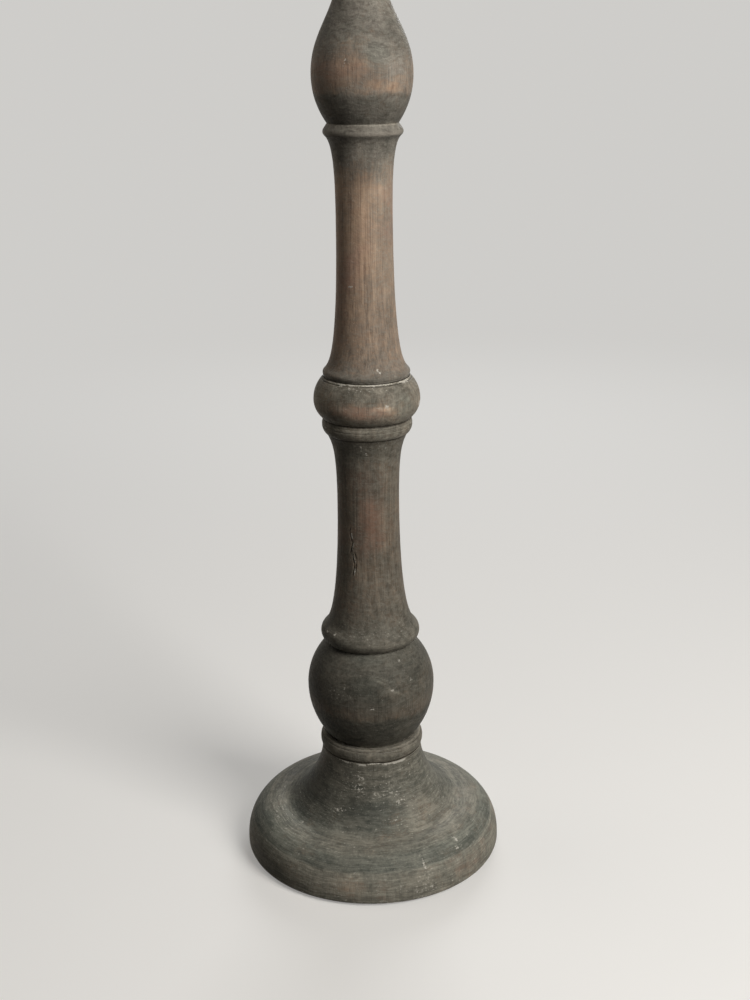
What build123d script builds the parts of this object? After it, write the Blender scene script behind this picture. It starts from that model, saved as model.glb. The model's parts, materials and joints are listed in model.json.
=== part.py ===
"""Turned wooden candle stand: foot, column in two lengths, cup, loose drip pan and iron pricket.

Millimetres, +Z up, origin on the table under the middle of the foot. Every turned piece is a
profile of radius against height, revolved about the Z axis.
"""

import os

from build123d import *

# Felt pads
pad_thickness = 1.5
pad_radius = 9.0
pad_circle_radius = 66.5
pad_count = 4

# Foot
foot_radius = 80.0
foot_height = 67.4
foot_edge = 1.0
foot_rim_height = 5.0
foot_shoulder_height = 23.8
foot_shoulder_width = 22.5
foot_neck_radius = 31.1
foot_hollow_radius = 54.0
foot_hollow_depth = 3.0
foot_cavetto_shares = ((0.0, 0.58), (0.57, 0.0))

# Ring, ball and bead at the bottom of the lower column
ring_height = 8.8
ring_belly_height = 4.2
ring_belly_radius = 32.0
ring_top_radius = 30.2
ball_height = 62.6
ball_belly_height = 32.8
ball_belly_radius = 39.1
ball_bottom_radius = 27.2
ball_top_radius = 25.5
bead_height = 10.3
bead_belly_height = 5.5
bead_belly_radius = 30.2
bead_edge_radius = 26.6
bead_top_radius = 28.0

# Lower stem, collar and knop
lower_stem_length = 121.5
lower_waist_height = 79.9
lower_waist_radius = 18.4
lower_stem_top_radius = 23.8
lower_foot_shares = ((0.04, 0.66), (0.12, 0.34), (0.42, 0.0))
lower_head_shares = ((0.16, 0.38), (0.27, 0.0))
collar_height = 9.1
collar_belly_height = 5.2
collar_belly_radius = 26.4
collar_edge_radius = 24.2
knop_height = 24.7
knop_belly_height = 11.0
knop_belly_radius = 31.1
knop_groove_radius = 25.5
knop_seat_radius = 25.2

# Lip, upper stem and ring
lip_height = 3.6
lip_belly_height = 2.4
lip_belly_radius = 25.3
lip_edge_radius = 24.6
lip_top_radius = 24.9
upper_stem_length = 131.3
upper_waist_height = 92.0
upper_waist_radius = 16.0
upper_stem_top_radius = 21.6
upper_foot_shares = ((0.04, 0.62), (0.08, 0.36), (0.30, 0.0))
upper_head_shares = ((0.06, 0.49), (0.22, 0.0))
top_ring_height = 6.3
top_ring_belly_height = 1.7
top_ring_belly_radius = 22.5
top_ring_brow_height = 3.2
top_ring_brow_radius = 22.0

# Onion bulb, neck and the ring under the cup
bulb_groove_radius = 19.9
bulb_belly_height = 25.4
bulb_belly_radius = 27.9
neck_height = 53.0
neck_radius = 12.5
neck_shares = ((0.43, 1.0), (0.62, 0.0))
throat_height = 17.0
throat_radius = 19.0
throat_shares = ((0.10, 0.40), (0.55, 0.0))
cup_ring_height = 7.0
cup_ring_belly_height = 3.6
cup_ring_belly_radius = 22.5
cup_ring_edge_radius = 21.0

# Candle cup
cup_height = 30.0
cup_radius = 52.0
cup_rim_height = 6.0
cup_rim_edge = 1.5
cup_shoulder_height = 9.0
cup_shoulder_width = 13.0
cup_base_radius = 20.0
cup_cavetto_shares = ((0.0, 0.45), (0.50, 0.0))
cup_recess_depth = 7.0

# Glued and screwed joints inside the wood
glue_gap = 0.1
socket_room = 1.0
seam_edge = 0.5
spigot_radius = 14.0
spigot_length = 24.0
dowel_radius = 8.0
dowel_length = 56.0
dowel_edge = 1.0
cup_spigot_radius = 9.0
cup_spigot_length = 13.0

# Foot screw and washer
screw_radius = 4.0
screw_bite_length = 37.0
screw_point_length = 8.0
screw_head_flats = 13.0
screw_head_height = 5.5
screw_hole_gap = 0.5
screw_bite_gap = 0.05
washer_radius = 12.0
washer_thickness = 1.6
counterbore_depth = 16.0
counterbore_gap = 2.0

# Pricket
pricket_radius = 3.5
pricket_root_length = 14.0
pricket_taper_length = 46.0
pricket_tip_radius = 0.5
pricket_collar_radius = 8.5
pricket_collar_thickness = 2.4
pricket_collar_edge = 0.6
shank_radius = 3.0
shank_length = 34.0
shank_point_length = 6.0

# Drip pan
pan_sheet = 1.2
pan_wall_radius = 40.0
pan_bend_radius = 3.5
pan_flange_radius = 48.0
pan_flange_lift = 1.2
pan_wire_radius = 1.5
pan_gap = 0.6

# Levels on the axis, from the table up
foot_base_z = pad_thickness
foot_rim_z = foot_base_z + foot_rim_height
foot_shoulder_z = foot_rim_z + foot_shoulder_height
foot_top_z = foot_base_z + foot_height
ring_top_z = foot_top_z + ring_height
ball_belly_z = ring_top_z + ball_belly_height
ball_top_z = ring_top_z + ball_height
bead_belly_z = ball_top_z + bead_belly_height
bead_top_z = ball_top_z + bead_height
lower_waist_z = bead_top_z + lower_waist_height
lower_stem_top_z = bead_top_z + lower_stem_length
collar_top_z = lower_stem_top_z + collar_height
knop_belly_z = collar_top_z + knop_belly_height
knop_top_z = collar_top_z + knop_height
lip_top_z = knop_top_z + lip_height
upper_waist_z = lip_top_z + upper_waist_height
upper_stem_top_z = lip_top_z + upper_stem_length
top_ring_top_z = upper_stem_top_z + top_ring_height
bulb_belly_z = top_ring_top_z + bulb_belly_height
neck_z = bulb_belly_z + neck_height
throat_z = neck_z + throat_height
cup_base_z = throat_z + cup_ring_height
cup_top_z = cup_base_z + cup_height
cup_shoulder_z = cup_top_z - cup_rim_height - cup_shoulder_height
seat_z = cup_top_z - cup_recess_depth
washer_top_z = foot_base_z + counterbore_depth
screw_seat_z = washer_top_z - washer_thickness
spigot_base_z = foot_top_z - spigot_length
cup_spigot_top_z = cup_base_z + cup_spigot_length


def swell(low, belly, high):
    """Draw a rounded swelling: arcs that leave the belly upright and end at low and high."""
    TangentArc(belly, low, tangent=(0, -1))
    TangentArc(belly, high, tangent=(0, 1))


def hollow_curve(edge, waist, shares):
    """Draw a smooth curve from edge to waist.

    Each pair of shares places one control point: the first along the height from edge to
    waist, the second along the radius from waist back to edge.
    """
    controls = [
        (
            waist[0] + radius_share * (edge[0] - waist[0]),
            edge[1] + height_share * (waist[1] - edge[1]),
        )
        for height_share, radius_share in shares
    ]
    Bezier(edge, *controls, waist)


os.makedirs("parts", exist_ok=True)

# Felt pads, evenly spaced under the foot
with BuildPart() as foot_pads:
    with BuildSketch():
        with PolarLocations(pad_circle_radius, pad_count):
            Circle(pad_radius)
    extrude(amount=pad_thickness)
foot_pads.part.label = "foot_pads"
export_step(foot_pads.part, "parts/foot_pads.step")

# Foot: upright rim, round shoulder and a long cavetto up to the neck, hollowed underneath
with BuildPart() as foot:
    with BuildSketch(Plane.XZ):
        with BuildLine():
            Polyline(
                (0, foot_base_z + foot_hollow_depth),
                (foot_hollow_radius - foot_hollow_depth, foot_base_z + foot_hollow_depth),
                (foot_hollow_radius, foot_base_z),
                (foot_radius - foot_edge, foot_base_z),
                (foot_radius, foot_base_z + foot_edge),
                (foot_radius, foot_rim_z),
            )
            EllipticalCenterArc(
                center=(foot_radius - foot_shoulder_width, foot_rim_z),
                x_radius=foot_shoulder_width,
                y_radius=foot_shoulder_height,
                start_angle=0,
                arc_size=90,
            )
            hollow_curve(
                (foot_radius - foot_shoulder_width, foot_shoulder_z),
                (foot_neck_radius, foot_top_z - seam_edge),
                foot_cavetto_shares,
            )
            Polyline(
                (foot_neck_radius, foot_top_z - seam_edge),
                (foot_neck_radius - seam_edge, foot_top_z),
                (0, foot_top_z),
                (0, foot_base_z + foot_hollow_depth),
            )
        make_face()
    revolve(axis=Axis.Z)
    with Locations((0, 0, foot_top_z)):
        Hole(spigot_radius + glue_gap, depth=spigot_length + socket_room)
    with Locations(Location((0, 0, foot_base_z), (180, 0, 0))):
        CounterBoreHole(
            radius=screw_radius + screw_hole_gap,
            counter_bore_radius=washer_radius + counterbore_gap,
            counter_bore_depth=counterbore_depth,
            depth=foot_height,
        )
foot.part.label = "foot"
export_step(foot.part, "parts/foot.step")

# Washer and hexagon wood screw in the counterbore under the foot
with BuildPart() as foot_washer:
    with BuildSketch(Plane.XY.offset(screw_seat_z)):
        Circle(washer_radius)
        Circle(screw_radius + screw_hole_gap, mode=Mode.SUBTRACT)
    extrude(amount=washer_thickness)
foot_washer.part.label = "foot_washer"
export_step(foot_washer.part, "parts/foot_washer.step")

screw_tip_z = spigot_base_z + screw_bite_length
with BuildPart() as foot_screw:
    with BuildSketch(Plane.XY.offset(screw_seat_z)):
        RegularPolygon(screw_head_flats / 2, side_count=6, major_radius=False)
    extrude(amount=-screw_head_height)
    with BuildSketch(Plane.XZ):
        with BuildLine():
            Polyline(
                (0, screw_seat_z - screw_head_height),
                (screw_radius, screw_seat_z - screw_head_height),
                (screw_radius, screw_tip_z - screw_point_length),
                (0, screw_tip_z),
                close=True,
            )
        make_face()
    revolve(axis=Axis.Z)
foot_screw.part.label = "foot_screw"
export_step(foot_screw.part, "parts/foot_screw.step")

# Lower column: spigot, ring, ball, bead, stem, collar and knop in one turning
with BuildPart() as lower_column:
    with BuildSketch(Plane.XZ):
        with BuildLine():
            Polyline(
                (0, knop_top_z),
                (0, spigot_base_z),
                (spigot_radius - seam_edge, spigot_base_z),
                (spigot_radius, spigot_base_z + seam_edge),
                (spigot_radius, foot_top_z),
                (foot_neck_radius - seam_edge, foot_top_z),
                (foot_neck_radius, foot_top_z + seam_edge),
            )
            swell(
                (foot_neck_radius, foot_top_z + seam_edge),
                (ring_belly_radius, foot_top_z + ring_belly_height),
                (ring_top_radius, ring_top_z),
            )
            Line((ring_top_radius, ring_top_z), (ball_bottom_radius, ring_top_z))
            swell(
                (ball_bottom_radius, ring_top_z),
                (ball_belly_radius, ball_belly_z),
                (ball_top_radius, ball_top_z),
            )
            Line((ball_top_radius, ball_top_z), (bead_edge_radius, ball_top_z))
            swell(
                (bead_edge_radius, ball_top_z),
                (bead_belly_radius, bead_belly_z),
                (bead_top_radius, bead_top_z),
            )
            hollow_curve(
                (bead_top_radius, bead_top_z),
                (lower_waist_radius, lower_waist_z),
                lower_foot_shares,
            )
            hollow_curve(
                (lower_stem_top_radius, lower_stem_top_z),
                (lower_waist_radius, lower_waist_z),
                lower_head_shares,
            )
            Line(
                (lower_stem_top_radius, lower_stem_top_z),
                (collar_edge_radius, lower_stem_top_z),
            )
            swell(
                (collar_edge_radius, lower_stem_top_z),
                (collar_belly_radius, lower_stem_top_z + collar_belly_height),
                (knop_groove_radius, collar_top_z),
            )
            swell(
                (knop_groove_radius, collar_top_z),
                (knop_belly_radius, knop_belly_z),
                (knop_seat_radius, knop_top_z),
            )
            Line((knop_seat_radius, knop_top_z), (0, knop_top_z))
        make_face()
    revolve(axis=Axis.Z)
    with Locations((0, 0, knop_top_z)):
        Hole(dowel_radius + glue_gap, depth=dowel_length / 2 + socket_room)
    with Locations(Location((0, 0, spigot_base_z), (180, 0, 0))):
        Hole(screw_radius + screw_bite_gap, depth=screw_bite_length + socket_room)
lower_column.part.label = "lower_column"
export_step(lower_column.part, "parts/lower_column.step")

# Dowel inside the joint above the knop
with BuildPart() as middle_dowel:
    with BuildSketch(Plane.XY.offset(knop_top_z)):
        Circle(dowel_radius)
    extrude(amount=dowel_length / 2, both=True)
    chamfer(middle_dowel.edges().filter_by(GeomType.CIRCLE), length=dowel_edge)
middle_dowel.part.label = "middle_dowel"
export_step(middle_dowel.part, "parts/middle_dowel.step")

# Upper column: lip, stem, ring, onion bulb, neck, ring under the cup and spigot in one turning
with BuildPart() as upper_column:
    with BuildSketch(Plane.XZ):
        with BuildLine():
            Polyline(
                (0, cup_spigot_top_z),
                (0, knop_top_z),
                (lip_edge_radius, knop_top_z),
            )
            swell(
                (lip_edge_radius, knop_top_z),
                (lip_belly_radius, knop_top_z + lip_belly_height),
                (lip_top_radius, lip_top_z),
            )
            hollow_curve(
                (lip_top_radius, lip_top_z),
                (upper_waist_radius, upper_waist_z),
                upper_foot_shares,
            )
            hollow_curve(
                (upper_stem_top_radius, upper_stem_top_z),
                (upper_waist_radius, upper_waist_z),
                upper_head_shares,
            )
            swell(
                (upper_stem_top_radius, upper_stem_top_z),
                (top_ring_belly_radius, upper_stem_top_z + top_ring_belly_height),
                (top_ring_brow_radius, upper_stem_top_z + top_ring_brow_height),
            )
            Line(
                (top_ring_brow_radius, upper_stem_top_z + top_ring_brow_height),
                (bulb_groove_radius, top_ring_top_z),
            )
            TangentArc(
                (bulb_belly_radius, bulb_belly_z),
                (bulb_groove_radius, top_ring_top_z),
                tangent=(0, -1),
            )
            hollow_curve(
                (bulb_belly_radius, bulb_belly_z),
                (neck_radius, neck_z),
                neck_shares,
            )
            hollow_curve((throat_radius, throat_z), (neck_radius, neck_z), throat_shares)
            Line((throat_radius, throat_z), (cup_ring_edge_radius, throat_z))
            swell(
                (cup_ring_edge_radius, throat_z),
                (cup_ring_belly_radius, throat_z + cup_ring_belly_height),
                (cup_ring_edge_radius, cup_base_z),
            )
            Polyline(
                (cup_ring_edge_radius, cup_base_z),
                (cup_spigot_radius, cup_base_z),
                (cup_spigot_radius, cup_spigot_top_z - seam_edge),
                (cup_spigot_radius - seam_edge, cup_spigot_top_z),
                (0, cup_spigot_top_z),
            )
        make_face()
    revolve(axis=Axis.Z)
    with Locations(Location((0, 0, knop_top_z), (180, 0, 0))):
        Hole(dowel_radius + glue_gap, depth=dowel_length / 2 + socket_room)
    with Locations((0, 0, cup_spigot_top_z)):
        Hole(
            shank_radius + screw_bite_gap,
            depth=shank_length - (seat_z - cup_spigot_top_z) + socket_room,
        )
upper_column.part.label = "upper_column"
export_step(upper_column.part, "parts/upper_column.step")

# Candle cup: the foot's cavetto and shoulder again, smaller and the other way up
with BuildPart() as candle_cup:
    with BuildSketch(Plane.XZ):
        with BuildLine():
            Polyline(
                (0, seat_z),
                (0, cup_base_z),
                (cup_base_radius, cup_base_z),
            )
            hollow_curve(
                (cup_radius - cup_shoulder_width, cup_shoulder_z),
                (cup_base_radius, cup_base_z),
                cup_cavetto_shares,
            )
            EllipticalCenterArc(
                center=(cup_radius - cup_shoulder_width, cup_top_z - cup_rim_height),
                x_radius=cup_shoulder_width,
                y_radius=cup_shoulder_height,
                start_angle=-90,
                arc_size=90,
            )
            Polyline(
                (cup_radius, cup_top_z - cup_rim_height),
                (cup_radius, cup_top_z - cup_rim_edge),
                (cup_radius - cup_rim_edge, cup_top_z),
                (pan_wall_radius + pan_gap, cup_top_z),
                (pan_wall_radius + pan_gap, seat_z),
                (0, seat_z),
            )
        make_face()
    revolve(axis=Axis.Z)
    with Locations(Location((0, 0, cup_base_z), (180, 0, 0))):
        Hole(cup_spigot_radius + glue_gap, depth=cup_spigot_length + socket_room)
    with Locations((0, 0, seat_z)):
        Hole(shank_radius + screw_bite_gap)
candle_cup.part.label = "candle_cup"
export_step(candle_cup.part, "parts/candle_cup.step")

# Pricket: tapered spike, collar that stands on the cup's floor and a pointed shank
spike_base_z = seat_z + pricket_collar_thickness
spike_root_z = spike_base_z + pricket_root_length
with BuildPart() as pricket:
    with BuildSketch(Plane.XZ):
        with BuildLine():
            Polyline(
                (0, seat_z - shank_length),
                (shank_radius, seat_z - shank_length + shank_point_length),
                (shank_radius, seat_z),
                (pricket_collar_radius, seat_z),
                (pricket_collar_radius, spike_base_z - pricket_collar_edge),
                (pricket_collar_radius - pricket_collar_edge, spike_base_z),
                (pricket_radius, spike_base_z),
                (pricket_radius, spike_root_z),
                (pricket_tip_radius, spike_root_z + pricket_taper_length),
                (0, spike_root_z + pricket_taper_length),
                close=True,
            )
        make_face()
    revolve(axis=Axis.Z)
pricket.part.label = "pricket"
export_step(pricket.part, "parts/pricket.step")

# Drip pan: one sheet from the hole round the pricket's collar out to a flange with a wired edge
pan_mid_z = seat_z + pan_sheet / 2
pan_flange_z = cup_top_z + pan_flange_lift + pan_sheet / 2
with BuildPart() as drip_pan:
    with BuildSketch(Plane.XZ):
        with BuildLine():
            FilletPolyline(
                (pricket_collar_radius + pan_gap, pan_mid_z),
                (pan_wall_radius - pan_sheet / 2, pan_mid_z),
                (pan_wall_radius - pan_sheet / 2, pan_flange_z),
                (pan_flange_radius, pan_flange_z),
                radius=pan_bend_radius,
            )
            offset(amount=pan_sheet / 2, side=Side.BOTH)
        make_face()
        with Locations((pan_flange_radius, pan_flange_z)):
            Circle(pan_wire_radius)
    revolve(axis=Axis.Z)
drip_pan.part.label = "drip_pan"
export_step(drip_pan.part, "parts/drip_pan.step")
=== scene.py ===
"""Looks of the turned candle stand: worn wash over lathe-turned wood, blackened iron on top.

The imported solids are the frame. Every turned piece is spun again, finely, over its own solid's
outline, then gets its tool lines, worn edges, cracks and knocks as geometry, and its wash, bare
wood and dirt as a procedural finish. Metres, +Z up, the photograph's camera on the -Y side.
"""

from __future__ import annotations

import json
import logging
import math
from collections.abc import Sequence
from dataclasses import dataclass
from enum import Enum
from functools import cached_property
from typing import ClassVar

import bmesh
import bpy
import numpy as np
from mathutils import Matrix, Vector

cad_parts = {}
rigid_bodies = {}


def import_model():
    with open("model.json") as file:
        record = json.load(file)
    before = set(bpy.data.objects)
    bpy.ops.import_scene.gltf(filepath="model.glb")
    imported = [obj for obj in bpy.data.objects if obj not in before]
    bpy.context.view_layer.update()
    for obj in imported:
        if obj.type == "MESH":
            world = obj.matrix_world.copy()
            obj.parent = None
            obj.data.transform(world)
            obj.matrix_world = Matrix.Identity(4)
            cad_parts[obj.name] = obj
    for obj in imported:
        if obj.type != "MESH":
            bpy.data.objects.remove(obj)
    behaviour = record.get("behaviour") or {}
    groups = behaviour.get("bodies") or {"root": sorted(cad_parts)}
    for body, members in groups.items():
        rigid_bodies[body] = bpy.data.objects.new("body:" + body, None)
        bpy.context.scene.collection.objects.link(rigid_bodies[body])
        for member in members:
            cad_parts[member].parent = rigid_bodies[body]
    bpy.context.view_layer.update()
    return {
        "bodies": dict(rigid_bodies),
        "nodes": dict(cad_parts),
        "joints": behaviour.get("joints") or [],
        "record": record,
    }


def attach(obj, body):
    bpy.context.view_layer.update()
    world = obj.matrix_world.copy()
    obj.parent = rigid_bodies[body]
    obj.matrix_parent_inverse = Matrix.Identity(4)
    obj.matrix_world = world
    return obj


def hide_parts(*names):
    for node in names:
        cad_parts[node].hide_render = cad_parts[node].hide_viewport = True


Colour = tuple[float, float, float]
Socket = bpy.types.NodeSocket
Input = Socket | float | Colour

MM = 0.001
MERGE = 0.001 * MM
HASH_AXES = (73856093, 19349663, 83492791)
HASH_SEED = 2654435761
HASH_MIX = ((15, 2246822519), (13, 3266489917))
HASH_WORD = 0xFFFFFFFF
HASH_HALF = 0xFFFF
HASH_FOLD = 16
CORNER = math.radians(18)
CREASE = math.radians(38)
SENSOR = 36.0

log = logging.getLogger("candle_stand")


class Body(Enum):
    """Bodies that move on their own."""

    STAND = "stand"
    PAN = "pan"


class Slot(Enum):
    """The record's material slots."""

    AGED_WOOD = "aged_wood"
    FELT = "felt"
    IRON = "iron"


class Pattern(Enum):
    """Noises of a turned piece: a step on from its seed, and the widest swell in millimetres."""

    WOBBLE = (0, 45.0)
    RIDGES = (10, 4.0)
    ROUNDING = (20, 7.0)
    GROOVES = (30, 9.0)
    STRAY = (40, 14.0)
    DIRT = (50, 6.0)
    RUBBING = (60, 5.0)
    FRAY = (70, 1.0)
    HAMMER = (80, 5.5)

    def at(
        self, places: np.ndarray, seed: int, wider: float = 0.0, octaves: int = 3
    ) -> np.ndarray:
        """Read the noise, from 0 to 1, with its widest swell wider by so many metres."""
        step, swell = self.value
        return rough_noise(places, wider + swell * MM, seed + step, octaves)


class Layer(Enum):
    """Values painted on a turned piece's points, which its finish reads."""

    RUN = "run"
    TONE = "tone"
    COOL = "cool"
    BARE = "bare"
    GRIME_AND_SHADE = "grime"
    EDGE = "edge"
    CHALK_AND_GLINT = "chalk"


def value_noise(places: np.ndarray, size: float, seed: int) -> np.ndarray:
    """Give smooth seeded noise at each place.

    Args:
        places: Points, with x, y and z on the last axis.
        size: Width of one swell of the noise, in the points' unit.
        seed: Picks the pattern.

    Returns:
        Values from 0 to 1, one per point.
    """
    cell = places / size
    corner = np.floor(cell).astype(np.int64)
    share = cell - corner
    share = share * share * (3.0 - 2.0 * share)
    total = np.zeros(places.shape[:-1])
    for step in np.ndindex(2, 2, 2):
        mark = corner + np.array(step)
        key = np.bitwise_xor.reduce(mark * np.array(HASH_AXES), axis=-1)
        key = (key ^ seed * HASH_SEED) & HASH_WORD
        for shift, factor in HASH_MIX:
            key = (key ^ key >> shift) * factor & HASH_WORD
        level = ((key ^ key >> HASH_FOLD) & HASH_HALF) / HASH_HALF
        weight = np.prod(np.where(np.array(step) == 1, share, 1.0 - share), axis=-1)
        total += level * weight
    return total


def rough_noise(places: np.ndarray, size: float, seed: int, octaves: int = 3) -> np.ndarray:
    """Add up finer and finer value noise.

    Args:
        places: Points, with x, y and z on the last axis.
        size: Width of the largest swell.
        seed: Picks the pattern.
        octaves: How many sizes are added, each half the one before.

    Returns:
        Values from 0 to 1, one per point.
    """
    weights = [0.5**octave for octave in range(octaves)]
    layers = [
        weight * value_noise(places, size * weight, seed + octave)
        for octave, weight in enumerate(weights)
    ]
    return sum(layers) / sum(weights)


@dataclass(frozen=True)
class Outline:
    """Half section of a turned solid, walked with the solid on its left.

    Attributes:
        points: Radius and height of each point.
        closed: Whether the section is a loop that stays clear of the axis.
    """

    points: np.ndarray
    closed: bool

    @classmethod
    def of_solid(cls, solid: bpy.types.Object) -> Outline:
        """Cut a solid through its axis and walk round the half with x above zero.

        Args:
            solid: The node's object.

        Returns:
            The outline of that half.
        """
        mesh = bmesh.new()
        mesh.from_mesh(solid.data)
        bmesh.ops.remove_doubles(mesh, verts=mesh.verts[:], dist=MERGE)
        for normal, clear in (((0, 1, 0), False), ((1, 0, 0), True)):
            bmesh.ops.bisect_plane(
                mesh,
                geom=[*mesh.verts, *mesh.edges, *mesh.faces],
                dist=MERGE / 10,
                plane_co=(0, 0, 0),
                plane_no=normal,
                clear_inner=clear,
            )
        neighbours: dict[bmesh.types.BMVert, list[bmesh.types.BMVert]] = {}
        for edge in mesh.edges:
            if all(abs(vert.co.y) < MERGE and vert.co.x > -MERGE for vert in edge.verts):
                for vert in edge.verts:
                    neighbours.setdefault(vert, []).append(edge.other_vert(vert))
        ends = [vert for vert, others in neighbours.items() if len(others) == 1]
        walk = [ends[0] if ends else next(iter(neighbours))]
        while True:
            fresh = [vert for vert in neighbours[walk[-1]] if vert not in walk[-2:]]
            if not fresh or fresh[0] is walk[0]:
                break
            walk.append(fresh[0])
        points = np.array([(max(vert.co.x, 0.0), vert.co.z) for vert in walk])
        mesh.free()
        ahead = np.roll(points, -1, axis=0)
        area = np.sum(points[:, 0] * ahead[:, 1] - ahead[:, 0] * points[:, 1])
        return cls(points if area > 0 else points[::-1], closed=not ends)

    def turns(self) -> np.ndarray:
        """Give the angle turned at each point.

        Returns:
            Angles in radians, one per point, above zero where the solid has an edge.
        """
        before = self.points - np.roll(self.points, 1, axis=0)
        after = np.roll(self.points, -1, axis=0) - self.points
        cross = before[:, 0] * after[:, 1] - before[:, 1] * after[:, 0]
        turned = np.arctan2(cross, np.sum(before * after, axis=1))
        if not self.closed:
            turned[[0, -1]] = 0.0
        return turned

    def sections(self, sharp: float) -> list[np.ndarray]:
        """Split the outline at its corners.

        Args:
            sharp: Smallest angle that counts as a corner, in radians.

        Returns:
            Runs of points, each from one corner to the next.
        """
        corners = list(np.flatnonzero(np.abs(self.turns()) > sharp))
        points = self.points
        if self.closed:
            points = np.roll(points, -corners[0], axis=0)
            corners = [corner - corners[0] for corner in corners]
            points = np.vstack([points, points[:1]])
        stops = sorted({0, *corners, len(points) - 1})
        return [points[low : high + 1] for low, high in zip(stops, stops[1:])]


@dataclass(frozen=True)
class Lathe:
    """Rings that spin an outline into a surface.

    Attributes:
        radius: Radius of each ring.
        height: Height of each ring.
        run: Length walked along the outline up to each ring.
        normal: Radius and height parts of each ring's outward direction.
        edge: Distance along the outline to the nearest outer corner.
        hollow: Distance along the outline to the nearest inner corner.
        seam: Distance along the outline to the nearest joint.
        skin: Whether each ring can be seen, rather than lying inside a joint.
        closed: Whether the last ring joins the first.
        OUTER: How far a larger radius wins where two rings are near a height.
        CLOSE: Spacing of the rings at a corner, as a share of the open spacing.
        FADE: How many open spacings lie between the two.
        SAMPLES: Points at which the spacing is worked out.
    """

    OUTER: ClassVar[float] = 0.02
    CLOSE: ClassVar[float] = 0.22
    FADE: ClassVar[float] = 4.0
    SAMPLES: ClassVar[int] = 800

    radius: np.ndarray
    height: np.ndarray
    run: np.ndarray
    normal: np.ndarray
    edge: np.ndarray
    hollow: np.ndarray
    seam: np.ndarray
    skin: np.ndarray
    closed: bool

    @classmethod
    def over(
        cls,
        outline: Outline,
        step: float,
        bore: float,
        seats: Sequence[float],
        lines: Sequence[float],
    ) -> Lathe:
        """Lay rings along an outline, closer together near its corners and fine lines.

        Args:
            outline: The section to follow.
            step: Spacing of the rings on open stretches.
            bore: Radius up to which the surface lies inside a joint.
            seats: Heights of the flat joint faces.
            lines: Heights of the fine lines.

        Returns:
            The rings.
        """
        sections = outline.sections(CORNER)
        rings: list[np.ndarray] = []
        for section in sections:
            chords = np.linalg.norm(np.diff(section, axis=0), axis=1)
            along = np.concatenate([[0.0], np.cumsum(chords)])
            level = np.ptp(section[:, 1]) < MERGE
            joined = level and np.min(np.abs(np.subtract(seats, section[0, 1]))) < MERGE
            hidden = joined or section[:, 0].max() < bore
            nearest = [int(np.argmin(np.abs(section[:, 1] - line))) for line in lines]
            stops = [
                along[spot]
                for spot, line in zip(nearest, lines)
                if abs(section[spot, 1] - line) < step
            ]
            places = along[[0, -1]] if hidden else cls.spread(along[-1], step, stops)
            rings.append(cls.bend(section, along, places)[:-1])
        last = sections[-1][-1:]
        points = np.vstack([*rings] if outline.closed else [*rings, last])
        shape = Outline(points, outline.closed)
        gaps = np.linalg.norm(np.diff(points, axis=0), axis=1)
        run = np.concatenate([[0.0], np.cumsum(gaps)])
        turned = shape.turns()
        ahead = np.roll(points, -1, axis=0) - points
        behind = points - np.roll(points, 1, axis=0)
        if not outline.closed:
            ahead[-1], behind[0] = behind[-1], ahead[0]
        lean = ahead / np.linalg.norm(ahead, axis=1, keepdims=True)
        lean = lean + behind / np.linalg.norm(behind, axis=1, keepdims=True)
        lean /= np.maximum(np.linalg.norm(lean, axis=1, keepdims=True), MERGE)
        normal = np.stack([lean[:, 1], -lean[:, 0]], axis=1)
        seated = np.min(np.abs(points[:, 1:] - np.reshape(seats, (1, -1))), axis=1) < MERGE
        skin = (points[:, 0] > bore) & ~seated
        return cls(
            radius=points[:, 0],
            height=points[:, 1],
            run=run,
            normal=normal,
            edge=cls.reach(run, run[(turned > CORNER) & ~seated]),
            hollow=cls.reach(run, run[turned < -CORNER]),
            seam=cls.reach(run, run[(turned > CORNER) & seated]),
            skin=skin,
            closed=outline.closed,
        )

    @classmethod
    def spread(cls, length: float, step: float, stops: Sequence[float]) -> np.ndarray:
        """Place rings along a stretch, closing up towards its ends and some places between.

        Args:
            length: Length of the stretch.
            step: Spacing on its open parts.
            stops: The places between, as lengths from its start.

        Returns:
            Lengths from the stretch's start, from zero to its end.
        """
        fine = np.linspace(0.0, length, cls.SAMPLES)
        near = np.min(np.abs(fine[:, None] - np.array([0.0, length, *stops])), axis=1)
        eased = cls.CLOSE + (1.0 - cls.CLOSE) * near / (cls.FADE * step)
        density = 1.0 / (step * np.clip(eased, cls.CLOSE, 1.0))
        count = np.concatenate([[0.0], np.cumsum((density[1:] + density[:-1]) / 2 * np.diff(fine))])
        rings = max(2, int(math.ceil(count[-1])))
        return np.interp(np.linspace(0.0, count[-1], rings + 1), count, fine)

    @staticmethod
    def bend(section: np.ndarray, along: np.ndarray, places: np.ndarray) -> np.ndarray:
        """Read a smooth curve through a run of points.

        Args:
            section: The points.
            along: Length walked up to each of them.
            places: Lengths at which the curve is read.

        Returns:
            One point per place.
        """
        if len(section) < 3:
            return np.stack([np.interp(places, along, section[:, axis]) for axis in (0, 1)], axis=1)
        slope = np.gradient(section, along, axis=0, edge_order=2)
        low = np.clip(np.searchsorted(along, places, side="right") - 1, 0, len(along) - 2)
        span = (along[low + 1] - along[low])[:, None]
        share = (places - along[low])[:, None] / span
        ease = share * share * (3.0 - 2.0 * share)
        leave = share * (1.0 - share) ** 2 * span * slope[low]
        arrive = share * share * (1.0 - share) * span * slope[low + 1]
        return section[low] * (1.0 - ease) + section[low + 1] * ease + leave - arrive

    @staticmethod
    def reach(run: np.ndarray, corners: np.ndarray) -> np.ndarray:
        """Give each ring's distance to the nearest corner, or far off if there are none."""
        return np.min(np.abs(run[:, None] - np.append(corners, run[-1] + 1.0)), axis=1)

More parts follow.
